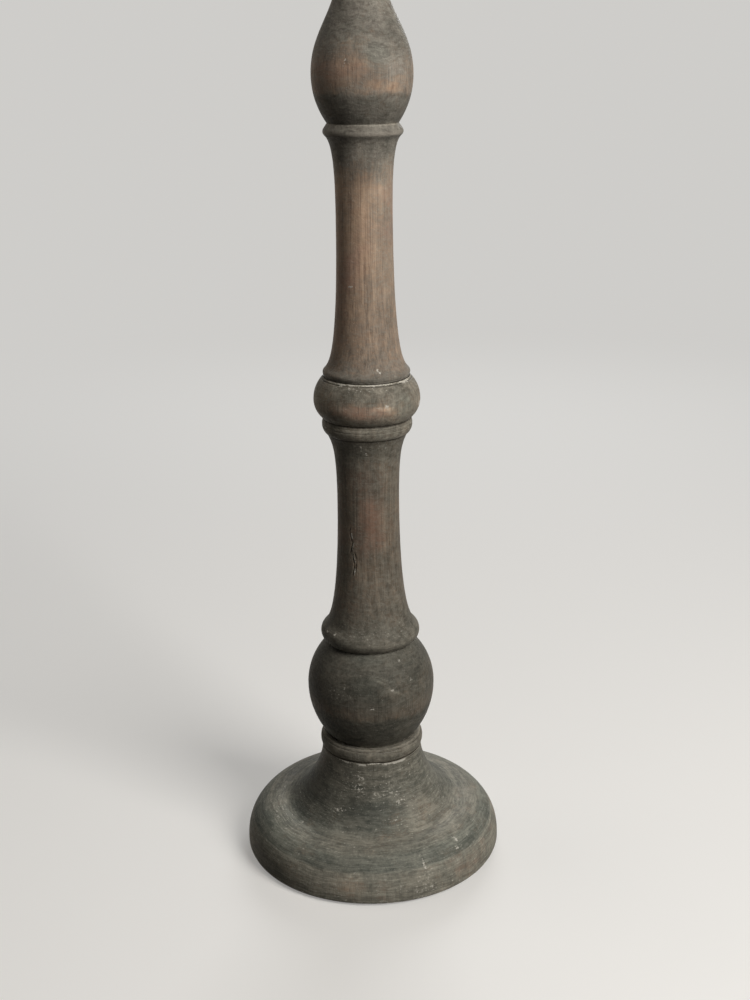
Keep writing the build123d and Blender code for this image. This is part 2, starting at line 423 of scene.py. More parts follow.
    def ring_at(self, height: float) -> int:
        """Give the seen ring nearest to a height, the outer one where there are two."""
        miss = np.abs(self.height - height) - self.radius * self.OUTER
        return int(np.argmin(np.where(self.skin, miss, np.inf)))


@dataclass(frozen=True)
class Mark:
    """A knock, chip, scratch, worn patch, painted highlight or painted shade at one place on a
    turned piece, in millimetres.

    Attributes:
        layer: What it shows.
        azimuth: Degrees round from the camera's side, growing to the right.
        height: Height of its middle.
        wide: Half its width, round the piece.
        tall: Half its length, along the outline.
        amount: Strength of what it shows, below zero to take some away.
        depth: How deep it goes into the wood.
        tilt: Degrees by which it leans to the right.
        ragged: How much its edge wanders, as a share of its size.
    """

    layer: Layer
    azimuth: float
    height: float
    wide: float
    tall: float
    amount: float = 1.0
    depth: float = 0.0
    tilt: float = 0.0
    ragged: float = 0.3


@dataclass(frozen=True)
class Zone:
    """How a turned piece looks at one height, in millimetres.

    Attributes:
        height: Where.
        tone: Brightness of the finish.
        bare: How far the wash has worn through to the wood.
        cool: How far the wash goes from warm grey to green.
    """

    height: float
    tone: float
    bare: float = 0.0
    cool: float = 0.3


@dataclass(frozen=True)
class Groove:
    """A fine line cut round a turned piece, in millimetres.

    Attributes:
        height: Where.
        width: Half its width.
        depth: How deep it is cut.
        dirt: How much dirt lies in it.
    """

    height: float
    width: float
    depth: float
    dirt: float = 0.5


class Bench:
    """Adds nodes to one node tree and wires them."""

    def __init__(self, tree: bpy.types.NodeTree) -> None:
        """Start on an empty tree."""
        self.tree = tree
        tree.nodes.clear()

    def add(self, kind: str, **settings: object) -> bpy.types.Node:
        """Add a node.

        Args:
            kind: Blender's name of the node, without its ShaderNode prefix.
            **settings: Properties to set on it.

        Returns:
            The node.
        """
        prefix = "" if kind.startswith("NodeGroup") else "ShaderNode"
        node = self.tree.nodes.new(prefix + kind)
        for name, value in settings.items():
            setattr(node, name, value)
        return node

    def put(self, socket: Socket, value: Input) -> None:
        """Wire a socket into another, or set it to a value.

        Args:
            socket: The input.
            value: The socket that feeds it, or its number, colour or vector.
        """
        if isinstance(value, Socket):
            self.tree.links.new(value, socket)
        elif isinstance(value, tuple) and socket.type == "RGBA":
            socket.default_value = (*value, 1.0)
        else:
            socket.default_value = value

    def math(
        self, operation: str, first: Input, second: Input = 0.0, clamp: bool = False
    ) -> Socket:
        """Add a sum of one or two values.

        Args:
            operation: Blender's name of the sum.
            first: First value.
            second: Second value.
            clamp: Whether the result is kept from 0 to 1.

        Returns:
            The result's socket.
        """
        node = self.add("Math", operation=operation, use_clamp=clamp)
        self.put(node.inputs[0], first)
        self.put(node.inputs[1], second)
        return node.outputs[0]

    def centred(self, value: Input) -> Socket:
        """Shift a value from 0 to 1 so that it lies about zero."""
        return self.math("SUBTRACT", value, 0.5)

    def times(self, first: Input, second: Input, clamp: bool = False) -> Socket:
        """Multiply two values."""
        return self.math("MULTIPLY", first, second, clamp)

    def shader(self, kind: str, *wired: Input, **inputs: Input) -> Socket:
        """Add a shader.

        Args:
            kind: Blender's name of the shader.
            *wired: Its first sockets, in order.
            **inputs: Other sockets, by name.

        Returns:
            The shader's socket.
        """
        node = self.add(kind)
        for socket, value in zip(node.inputs, wired):
            self.put(socket, value)
        for name, value in inputs.items():
            self.put(node.inputs[name], value)
        return node.outputs[0]

    def scaled(
        self, value: Input, factor: Input, shift: Input = 0.0, clamp: bool = False
    ) -> Socket:
        """Multiply a value and add to it.

        Args:
            value: The value.
            factor: What it is multiplied by.
            shift: What is added then.
            clamp: Whether the result is kept from 0 to 1.

        Returns:
            The result's socket.
        """
        node = self.add("Math", operation="MULTIPLY_ADD", use_clamp=clamp)
        for socket, given in zip(node.inputs, (value, factor, shift)):
            self.put(socket, given)
        return node.outputs[0]

    def vector(self, operation: str, first: Input, second: Input = (0.0, 0.0, 0.0)) -> Socket:
        """Add a sum of one or two vectors, or a vector and a number to scale it by.

        Args:
            operation: Blender's name of the sum.
            first: First vector.
            second: Second vector, or the number for SCALE.

        Returns:
            The result's socket.
        """
        node = self.add("VectorMath", operation=operation)
        self.put(node.inputs[0], first)
        self.put(node.inputs["Scale"] if operation == "SCALE" else node.inputs[1], second)
        return node.outputs["Vector"]

    def mix(self, factor: Input, first: Input, second: Input, blend: str = "MIX") -> Socket:
        """Mix two colours.

        Args:
            factor: Share of the second.
            first: First colour.
            second: Second colour.
            blend: Blender's name of the way they are mixed.

        Returns:
            The mixed colour's socket.
        """
        node = self.add("Mix", data_type="RGBA", blend_type=blend)
        for index, value in ((0, factor), (6, first), (7, second)):
            self.put(node.inputs[index], value)
        return node.outputs[2]

    def step(self, value: Input, low: float, high: float) -> Socket:
        """Ramp a value smoothly from 0 at low to 1 at high.

        Args:
            value: The value.
            low: Where the ramp leaves 0.
            high: Where it reaches 1.

        Returns:
            The ramp's socket.
        """
        node = self.add("MapRange", interpolation_type="SMOOTHSTEP")
        for name, given in (("Value", value), ("From Min", low), ("From Max", high)):
            self.put(node.inputs[name], given)
        return node.outputs["Result"]

    def sized(self, place: Input, size: Input) -> Socket:
        """Scale a place, so that a pattern one unit wide comes out at a size."""
        return self.vector("SCALE", place, self.math("DIVIDE", 1.0, size))

    def dots(self, place: Input, reach: float, soft: float) -> tuple[Socket, Sequence[Socket]]:
        """Scatter dots, one in each cell of a pattern one unit wide.

        Args:
            place: Where the pattern is read.
            reach: Radius of the dots.
            soft: Width of their soft edge.

        Returns:
            The dots' mask, and three values of chance for each cell.
        """
        cells = self.add("TexVoronoi")
        self.put(cells.inputs["Vector"], place)
        self.put(cells.inputs["Scale"], 1.0)
        mask = self.step(self.math("SUBTRACT", reach, cells.outputs["Distance"]), 0.0, soft)
        chance = self.add("SeparateColor")
        self.put(chance.inputs[0], cells.outputs["Color"])
        return mask, chance.outputs

    def noise(
        self, place: Input, detail: float = 3.0, roughness: float = 0.55, bend: Input = 0.0
    ) -> Socket:
        """Add a noise texture one unit wide.

        Args:
            place: Where it is read.
            detail: How many finer noises are added.
            roughness: Strength of each finer noise.
            bend: How far the pattern is bent.

        Returns:
            The noise's value, around a half.
        """
        node = self.add("TexNoise")
        for name, given in (
            ("Vector", place),
            ("Scale", 1.0),
            ("Detail", detail),
            ("Roughness", roughness),
            ("Distortion", bend),
        ):
            self.put(node.inputs[name], given)
        return node.outputs["Fac"]

    def layer(self, layer: Layer) -> Socket:
        """Read a value painted on the piece's points."""
        return self.add("Attribute", attribute_name=layer.value).outputs["Fac"]

    def effect(self, group: bpy.types.NodeTree, **inputs: Input) -> Socket:
        """Place a shared effect.

        Args:
            group: The effect's node group.
            **inputs: Values for its sockets, by name.

        Returns:
            The effect's one output.
        """
        node = self.add("Group", node_tree=group)
        for name, value in inputs.items():
            self.put(node.inputs[name], value)
        return node.outputs[0]


class Effects:
    """Shader node groups that the finishes share, each built once.

    Attributes:
        SPREAD: Part of a noise's range that is stretched to run from 0 to 1.
    """

    SPREAD: ClassVar[tuple[float, float]] = (0.28, 0.72)

    @staticmethod
    def start(
        name: str, output: str, **inputs: float | None
    ) -> tuple[Bench, dict[str, Socket], Socket]:
        """Begin a group with one output.

        Args:
            name: Name of the group.
            output: Name of its output.
            **inputs: Its inputs with their defaults, None for a vector.

        Returns:
            A bench on the group, its input sockets by name, and the socket to wire the result to.
        """
        tree = bpy.data.node_groups.new(name, "ShaderNodeTree")
        for label, default in inputs.items():
            kind = "NodeSocketVector" if default is None else "NodeSocketFloat"
            socket = tree.interface.new_socket(label, in_out="INPUT", socket_type=kind)
            if default is not None:
                socket.default_value = default
        tree.interface.new_socket(output, in_out="OUTPUT", socket_type="NodeSocketFloat")
        bench = Bench(tree)
        given = bench.add("NodeGroupInput").outputs
        sockets = {label: given[label] for label in inputs}
        return bench, sockets, bench.add("NodeGroupOutput").inputs[output]

    @cached_property
    def grain(self) -> bpy.types.NodeTree:
        """Wood fibres that run up the piece.

        Returns:
            The group.
        """
        bench, given, out = self.start(
            "wood_grain", "Grain", Place=None, Fineness=600.0, Stretch=30.0, Waviness=0.4
        )
        turn = bench.add("CombineXYZ")
        for axis in ("X", "Y"):
            bench.put(turn.inputs[axis], given["Fineness"])
        bench.put(turn.inputs["Z"], bench.math("DIVIDE", given["Fineness"], given["Stretch"]))
        place = bench.vector("MULTIPLY", given["Place"], turn.outputs[0])
        noise = bench.noise(place, detail=4.0, roughness=0.62, bend=given["Waviness"])
        bench.put(out, bench.step(noise, *self.SPREAD))
        return bench.tree

    @cached_property
    def streaks(self) -> bpy.types.NodeTree:
        """Tool and brush lines that run round the piece, more or less wavy.

        Returns:
            The group.
        """
        bench, given, out = self.start(
            "lathe_streaks",
            "Streaks",
            Place=None,
            Run=0.0,
            Fineness=900.0,
            Broken=3.0,
            Wave=0.001,
        )
        sway = bench.noise(bench.vector("SCALE", given["Place"], 65.0), detail=1.0)
        walked = bench.scaled(bench.centred(sway), given["Wave"], given["Run"])
        flat = bench.vector("NORMALIZE", bench.vector("MULTIPLY", given["Place"], (1.0, 1.0, 0.0)))
        around = bench.vector("SCALE", flat, given["Broken"])
        along = bench.add("CombineXYZ")
        bench.put(along.inputs["Z"], bench.times(walked, given["Fineness"]))
        place = bench.vector("ADD", around, along.outputs[0])
        noise = bench.noise(place, detail=3.0, roughness=0.6)
        bench.put(out, bench.step(noise, *self.SPREAD))
        return bench.tree

    @cached_property
    def patches(self) -> bpy.types.NodeTree:
        """Soft cloudy patches.

        Returns:
            The group.
        """
        bench, given, out = self.start(
            "soft_patches", "Patches", Place=None, Size=0.02, Contrast=2.0
        )
        place = bench.sized(given["Place"], given["Size"])
        noise = bench.noise(place, detail=4.0, roughness=0.58, bend=0.3)
        bench.put(out, bench.scaled(bench.centred(noise), given["Contrast"], 0.5, clamp=True))
        return bench.tree

    @cached_property
    def specks(self) -> bpy.types.NodeTree:
        """Small dots, gathered here and there.

        Returns:
            The group.
        """
        bench, given, out = self.start("fine_specks", "Specks", Place=None, Size=0.001, Amount=0.2)
        place = bench.sized(given["Place"], given["Size"])
        dot, chance = bench.dots(place, 0.42, 0.22)
        gather = bench.noise(bench.vector("SCALE", place, 0.07), detail=2.0)
        limit = bench.scaled(bench.math("SUBTRACT", gather, 0.42, clamp=True), given["Amount"])
        chosen = bench.math("LESS_THAN", chance[0], bench.times(limit, 4.0))
        bench.put(out, bench.times(dot, chosen))
        return bench.tree

    @cached_property
    def scratches(self) -> bpy.types.NodeTree:
        """Short hair-thin scratches that lean both ways.

        Returns:
            The group.
        """
        bench, given, out = self.start(
            "hair_scratches", "Scratches", Place=None, Length=0.008, Amount=0.2
        )
        result: Input = 0.0
        for lean, thin in (
            ((0.2, 0.6, 0.0), 26.0), ((0.7, -0.9, 0.4), 34.0), ((-0.5, 1.5, 0.9), 22.0)
        ):
            turned = bench.add("VectorRotate", rotation_type="EULER_XYZ")
            bench.put(turned.inputs["Vector"], given["Place"])
            turned.inputs["Rotation"].default_value = lean
            place = bench.sized(turned.outputs[0], given["Length"])
            place = bench.vector("MULTIPLY", place, (thin, thin, 1.0))
            line, chance = bench.dots(place, 0.4, 0.25)
            chosen = bench.math("LESS_THAN", chance[1], given["Amount"])
            result = bench.math("MAXIMUM", result, bench.times(line, chosen))
        bench.put(out, result)
        return bench.tree

    @cached_property
    def dust(self) -> bpy.types.NodeTree:
        """Dust that settles where a surface faces up.

        Returns:
            The group.
        """
        bench, given, out = self.start("settled_dust", "Dust", Place=None, Amount=0.3)
        facing = bench.add("SeparateXYZ")
        bench.put(facing.inputs[0], bench.add("NewGeometry").outputs["Normal"])
        cover = bench.step(facing.outputs["Z"], 0.25, 1.0)
        place = bench.vector("SCALE", given["Place"], 260.0)
        noise = bench.noise(place, detail=4.0, roughness=0.65)
        patchy = bench.times(bench.step(noise, 0.3, 0.75), given["Amount"])
        bench.put(out, bench.times(cover, patchy))
        return bench.tree


class Finish:
    """Base of the finishes: opens a material and closes it with one shader."""

    @staticmethod
    def open(name: str) -> tuple[bpy.types.Material, Bench, Socket]:
        """Start a material.

        Args:
            name: The material's name.

        Returns:
            The material, a bench on it, and the piece's own coordinates.
        """
        material = bpy.data.materials.new(name)
        material.use_nodes = True
        bench = Bench(material.node_tree)
        return material, bench, bench.add("TexCoord").outputs["Object"]

    @staticmethod
    def close(bench: Bench, height: Input, relief: float, **inputs: Input) -> None:
        """End a material with the Principled shader and a bump.

        Args:
            bench: The material's bench.
            height: Relief, from 0 to 1.
            relief: Depth of that relief in metres.
            **inputs: The shader's sockets, with _ for each space.
        """
        shader = bench.add("BsdfPrincipled")
        bump = bench.add("Bump")
        bump.inputs["Strength"].default_value = 1.0
        bump.inputs["Distance"].default_value = relief
        bench.put(bump.inputs["Height"], height)
        bench.put(shader.inputs["Normal"], bump.outputs["Normal"])
        for name, value in inputs.items():
            bench.put(shader.inputs[name.replace("_", " ")], value)
        bench.put(bench.add("OutputMaterial").inputs["Surface"], shader.outputs[0])


@dataclass(frozen=True)
class AgedWood(Finish):
    """Turned wood under a dry brushed wash that has worn through in places.

    Attributes:
        name: The material's name.
        wash_pale: Wash where it lies thick.
        wash_deep: Wash where it is thin and dirty.
        cool_pale: Thick wash that goes to green.
        cool_deep: Thin wash that goes to green.
        bare_pale: Worn wood between the fibres.
        bare_deep: Worn wood's dark fibres.
        bare_red: Worn wood where it goes to red.
        grime: Dirt in the grooves, with painted shade in inner corners and on the shaded side of
            some seams.
        chalk: Pale filler, crumbs and scratches, and the painted highlights of the knop's glints.
        streaked: Share of the brush's and lathe's lines round the piece.
        hatched: Share of the crossing strokes.
        grained: How far the wood's fibres show through the wash.
        contrast: How far thick and thin wash are apart.
        scratched: Amount of fine scratches.
        dusty: Amount of settled dust.
        roughness: Roughness of the wash.
    """

    name: str
    wash_pale: Colour = (0.290, 0.256, 0.204)
    wash_deep: Colour = (0.136, 0.116, 0.090)
    cool_pale: Colour = (0.240, 0.236, 0.194)
    cool_deep: Colour = (0.104, 0.106, 0.087)
    bare_pale: Colour = (0.450, 0.314, 0.208)
    bare_deep: Colour = (0.250, 0.160, 0.106)
    bare_red: Colour = (0.320, 0.188, 0.130)
    grime: Colour = (0.022, 0.017, 0.012)
    chalk: Colour = (0.66, 0.62, 0.54)
    streaked: float = 0.35
    hatched: float = 0.32
    grained: float = 0.70
    contrast: float = 1.8
    scratched: float = 0.03
    dusty: float = 0.15
    roughness: float = 0.55

    def material(self, effects: Effects) -> bpy.types.Material:
        """Build the finish.

        Args:
            effects: The shared effects.

        Returns:
            The material.
        """
        material, bench, place = self.open(self.name)
        run = bench.layer(Layer.RUN)
        broad = bench.effect(
            effects.streaks, Place=place, Run=run, Fineness=330.0, Broken=2.4, Wave=0.004
        )
        thin = bench.effect(
            effects.streaks, Place=place, Run=run, Fineness=1200.0, Broken=9.0, Wave=0.002
        )
        hatch = bench.effect(
            effects.streaks, Place=place, Run=run, Fineness=650.0, Broken=5.0, Wave=0.013
        )
        grain = bench.effect(
            effects.grain, Place=place, Fineness=420.0, Stretch=30.0, Waviness=0.6
        )
        fibre = bench.effect(
            effects.grain, Place=place, Fineness=1250.0, Stretch=60.0, Waviness=0.3
        )
        mottle = bench.effect(effects.patches, Place=place, Size=0.0035, Contrast=2.4)
        clouds = bench.effect(effects.patches, Place=place, Size=0.018, Contrast=2.2)
        drift = bench.effect(effects.patches, Place=place, Size=0.045, Contrast=2.4)
        grit = bench.effect(effects.patches, Place=place, Size=0.0013, Contrast=3.0)
        hairs = bench.effect(effects.scratches, Place=place, Length=0.009, Amount=self.scratched)
        dust = bench.effect(effects.dust, Place=place, Amount=self.dusty)

        strokes = bench.times(mottle, 1.0 - self.streaked - self.hatched)
        for effect, share in (
            (broad, 0.5 * self.streaked), (thin, 0.5 * self.streaked), (hatch, self.hatched)
        ):
            strokes = bench.scaled(effect, share, strokes)
        lines = bench.scaled(fibre, 0.45, bench.scaled(grain, 0.35, bench.times(mottle, 0.20)))
        thinned = bench.times(bench.layer(Layer.BARE), 3.0, clamp=True)
        brushed = bench.scaled(thinned, -0.5 * self.contrast, self.contrast)
        level = bench.scaled(bench.centred(strokes), brushed, 0.5)
        fibres = bench.times(thinned, self.grained)
        level = bench.scaled(bench.centred(lines), fibres, level)
        level = bench.scaled(bench.centred(grit), 0.25, level)
        level = bench.scaled(bench.centred(clouds), 0.3, level, clamp=True)
        green = bench.scaled(bench.centred(drift), 0.4, bench.layer(Layer.COOL))
        green = bench.scaled(bench.centred(broad), -0.3, green, clamp=True)
        warm = bench.mix(level, self.wash_deep, self.wash_pale)
        wash = bench.mix(green, warm, bench.mix(level, self.cool_deep, self.cool_pale))
        wood = bench.mix(lines, self.bare_deep, self.bare_pale)
        red = bench.scaled(bench.layer(Layer.COOL), -0.7, bench.math("ADD", drift, 0.1))
        wood = bench.mix(bench.step(red, 0.35, 0.95), wood, self.bare_red)
        worn = bench.scaled(bench.centred(clouds), 0.35, bench.layer(Layer.BARE))
        worn = bench.scaled(bench.centred(drift), 0.2, worn)
        worn = bench.scaled(bench.centred(lines), 0.25, worn)
        worn = bench.scaled(bench.centred(strokes), -0.5, worn)
        bare = bench.step(worn, 0.0, 1.0)
        smudge = bench.scaled(
            lines, 0.30, bench.scaled(mottle, 0.12, bench.scaled(clouds, 0.20, 0.69))
        )
        pores = bench.times(
            bench.step(bench.math("SUBTRACT", 0.5, fibre), 0.2, 0.45),
            bench.scaled(bare, 0.15, 0.06),
        )
        shade = bench.times(
            bench.layer(Layer.TONE), bench.times(smudge, bench.math("SUBTRACT", 1.0, pores))
        )
        colour = bench.vector("SCALE", bench.mix(bare, wash, wood), shade)
        rubbed = bench.step(
            bench.scaled(bench.centred(grit), 0.5, bench.layer(Layer.EDGE)), 0.25, 0.75
        )
        colour = bench.mix(bench.times(rubbed, 0.5), colour, self.wash_pale)
        colour = bench.mix(bench.times(dust, 0.5), colour, self.chalk)
        # The grime layer darkens grooves, joints and inner corners: dirt, with painted shade in the
        # corners and on the shaded side of some seams.
        dirt = bench.step(
            bench.scaled(bench.centred(grit), 0.3, bench.layer(Layer.GRIME_AND_SHADE)), 0.12, 0.72
        )
        colour = bench.mix(bench.times(dirt, 0.92), colour, self.grime)
        # Chalk lightens the finish with crumbs and filler, and with painted highlights where its
        # marks stand for glints.
        crumbs = bench.scaled(bench.centred(grit), 0.6, bench.layer(Layer.CHALK_AND_GLINT))
        crumbs = bench.step(bench.scaled(bench.centred(thin), 0.35, crumbs), 0.36, 0.66)
        pale = bench.math("MAXIMUM", bench.times(crumbs, 0.75), bench.times(hairs, 0.25))
        colour = bench.mix(pale, colour, self.chalk)

        rough = bench.scaled(
            bench.centred(mottle), 0.16, bench.scaled(bare, -0.10, self.roughness), clamp=True
        )
        relief = bench.scaled(fibre, 0.22, bench.scaled(thin, 0.20, bench.times(mottle, 0.18)))
        relief = bench.scaled(hatch, 0.22, bench.scaled(grit, 0.14, relief))
        relief = bench.scaled(hairs, -0.4, bench.scaled(crumbs, 0.25, relief))
        relief = bench.scaled(pores, -0.5, relief)
        self.close(
            bench, relief, 0.2 * MM, Base_Color=colour, Roughness=rough, Specular_IOR_Level=0.06
        )
        return material


@dataclass(frozen=True)
class DowelWood(Finish):
    """Plain pale hardwood, straight in the grain."""

    name: str = "beech_dowel"
    pale: Colour = (0.58, 0.43, 0.27)
    deep: Colour = (0.36, 0.24, 0.14)

    def material(self, effects: Effects) -> bpy.types.Material:
        """Build the finish.

        Args:
            effects: The shared effects.

        Returns:
            The material.
        """
        material, bench, place = self.open(self.name)
        grain = bench.effect(
            effects.grain, Place=place, Fineness=900.0, Stretch=40.0, Waviness=0.3
        )
        clouds = bench.effect(effects.patches, Place=place, Size=0.012, Contrast=1.6)
        colour = bench.mix(bench.scaled(grain, 0.7, bench.times(clouds, 0.3)), self.deep, self.pale)
        rough = bench.scaled(grain, -0.15, 0.7)
        self.close(bench, grain, 0.1 * MM, Base_Color=colour, Roughness=rough)
        return material


@dataclass(frozen=True)
class BlackIron(Finish):
    """Forged iron with a blackened skin, rubbed on its edges and rusty in its corners."""

    name: str = "blackened_iron"
    skin: Colour = (0.030, 0.029, 0.030)
    grey: Colour = (0.062, 0.058, 0.055)
    worn: Colour = (0.17, 0.16, 0.15)
    rust: Colour = (0.13, 0.052, 0.024)
    chalk: Colour = (0.45, 0.42, 0.36)

    def material(self, effects: Effects) -> bpy.types.Material:
        """Build the finish.

        Args:
            effects: The shared effects.

        Returns:
            The material.
        """
        material, bench, place = self.open(self.name)
        clouds = bench.effect(effects.patches, Place=place, Size=0.011, Contrast=2.6)
        mottle = bench.effect(effects.patches, Place=place, Size=0.0018, Contrast=2.4)
        streaks = bench.effect(
            effects.streaks,
            Place=place,
            Run=bench.layer(Layer.RUN),
            Fineness=1400.0,
            Broken=6.0,
            Wave=0.001,
        )
        hairs = bench.effect(effects.scratches, Place=place, Length=0.012, Amount=0.10)
        specks = bench.effect(effects.specks, Place=place, Size=0.0014, Amount=0.5)
        dust = bench.effect(effects.dust, Place=place, Amount=0.35)
        edge = bench.times(bench.layer(Layer.EDGE), bench.step(mottle, 0.2, 0.8))
        rub = bench.math("MAXIMUM", bench.times(edge, 0.8), bench.times(hairs, 0.5))
        colour = bench.mix(
            bench.scaled(clouds, 0.5, bench.times(streaks, 0.2)), self.skin, self.grey
        )
        rust = bench.times(
            bench.math("MAXIMUM", bench.layer(Layer.GRIME_AND_SHADE), specks), bench.step(mottle, 0.25, 0.75)
        )
        colour = bench.mix(bench.times(rust, 0.75), colour, self.rust)
        colour = bench.mix(rub, colour, self.worn)
        colour = bench.mix(bench.times(dust, 0.22), colour, self.chalk)
        metal = bench.math(
            "SUBTRACT", 0.85, bench.math("MAXIMUM", rust, bench.times(dust, 0.8)), clamp=True
        )
        rough = bench.scaled(mottle, 0.22, bench.scaled(rub, -0.14, 0.42), clamp=True)
        relief = bench.scaled(clouds, 0.4, bench.scaled(mottle, 0.4, bench.times(streaks, 0.2)))
        self.close(bench, relief, 0.14 * MM, Base_Color=colour, Roughness=rough, Metallic=metal)
        return material


@dataclass(frozen=True)
class PlatedSteel(Finish):
    """Zinc-plated steel, cloudy and lightly scratched."""

    name: str = "plated_steel"
    bright: Colour = (0.62, 0.62, 0.63)
    dull: Colour = (0.40, 0.40, 0.41)

    def material(self, effects: Effects) -> bpy.types.Material:
        """Build the finish.

        Args:
            effects: The shared effects.

        Returns:
            The material.
        """
        material, bench, place = self.open(self.name)
        clouds = bench.effect(effects.patches, Place=place, Size=0.004, Contrast=2.2)
        hairs = bench.effect(effects.scratches, Place=place, Length=0.006, Amount=0.2)
        colour = bench.mix(bench.scaled(hairs, 0.4, clouds, clamp=True), self.dull, self.bright)
        rough = bench.scaled(clouds, -0.16, 0.44)
        self.close(
            bench,
            bench.scaled(hairs, -0.5, clouds),
            0.03 * MM,
            Base_Color=colour,
            Roughness=rough,
            Metallic=1.0,
        )
        return material


@dataclass(frozen=True)
class PressedFelt(Finish):
    """Dark pressed felt with loose fibres and dust."""

    name: str = "pressed_felt"
    wool: Colour = (0.055, 0.053, 0.052)
    fibre: Colour = (0.13, 0.125, 0.12)

    def material(self, effects: Effects) -> bpy.types.Material:
        """Build the finish.

        Args:
            effects: The shared effects.

        Returns:
            The material.
        """
        material, bench, place = self.open(self.name)
        nap = bench.effect(effects.patches, Place=place, Size=0.0007, Contrast=3.0)
        hairs = bench.effect(effects.scratches, Place=place, Length=0.004, Amount=0.45)
        specks = bench.effect(effects.specks, Place=place, Size=0.0012, Amount=0.6)
        loose = bench.math("MAXIMUM", bench.times(hairs, 0.8), bench.times(specks, 0.5))
        colour = bench.mix(bench.scaled(nap, 0.4, loose, clamp=True), self.wool, self.fibre)
        rough = bench.scaled(nap, 0.08, 0.9)
        self.close(
            bench,
            bench.scaled(hairs, 0.4, nap),
            0.25 * MM,
            Base_Color=colour,
            Roughness=rough,
            Sheen_Weight=0.3,
        )
        return material


def spin(
    name: str, lathe: Lathe, angle: np.ndarray, offset: np.ndarray, lift: np.ndarray
) -> bpy.types.Object:
    """Turn rings into a mesh with the bake's own map.

    Args:
        name: Name of the new piece.
        lathe: The rings.
        angle: Azimuth of each point round a ring.
        offset: How far each point is moved outwards, rings by sides.
        lift: How far each point is moved up, rings by sides.

    Returns:
        The piece, linked to the scene.
    """
    sides = len(angle)
    radius = np.maximum(lathe.radius[:, None] + offset * lathe.normal[:, :1], 0.0)
    height = lathe.height[:, None] + offset * lathe.normal[:, 1:] + lift
    places = np.stack([radius * np.sin(angle), -radius * np.cos(angle), height], axis=-1)
    rings = len(lathe.radius)
    low = np.arange(rings if lathe.closed else rings - 1)
    ring, side = np.meshgrid(low, np.arange(sides), indexing="ij")
    above, beside = (ring + 1) % rings, (side + 1) % sides
    quads = np.stack(
        [ring * sides + side, ring * sides + beside, above * sides + beside, above * sides + side],
        axis=-1,
    ).reshape(-1, 4)
    mesh = bpy.data.meshes.new(name)
    mesh.from_pydata(places.reshape(-1, 3).tolist(), [], quads.tolist())
    length = lathe.run[-1] * (1.0 + 1.0 / rings if lathe.closed else 1.0)
    walked = np.append(lathe.run, length) / length
    across = np.stack([side, side + 1, side + 1, side], axis=-1).reshape(-1) / sides
    upward = walked[np.stack([ring, ring, ring + 1, ring + 1], axis=-1).reshape(-1)]
    mesh.uv_layers.new(name="OFBake").data.foreach_set(
        "uv", np.stack([across, upward], axis=1).ravel()
    )
    shut = bmesh.new()
    shut.from_mesh(mesh)
    poles = [vert for vert in shut.verts if math.hypot(vert.co.x, vert.co.y) < MERGE]
    bmesh.ops.remove_doubles(shut, verts=poles, dist=MERGE)
    shut.to_mesh(mesh)
    shut.free()
    mesh.polygons.foreach_set("use_smooth", np.ones(len(mesh.polygons), bool))
    mesh.set_sharp_from_angle(angle=CREASE)
    mesh.update()
    piece = bpy.data.objects.new(name, mesh)
    bpy.context.scene.collection.objects.link(piece)
    return piece


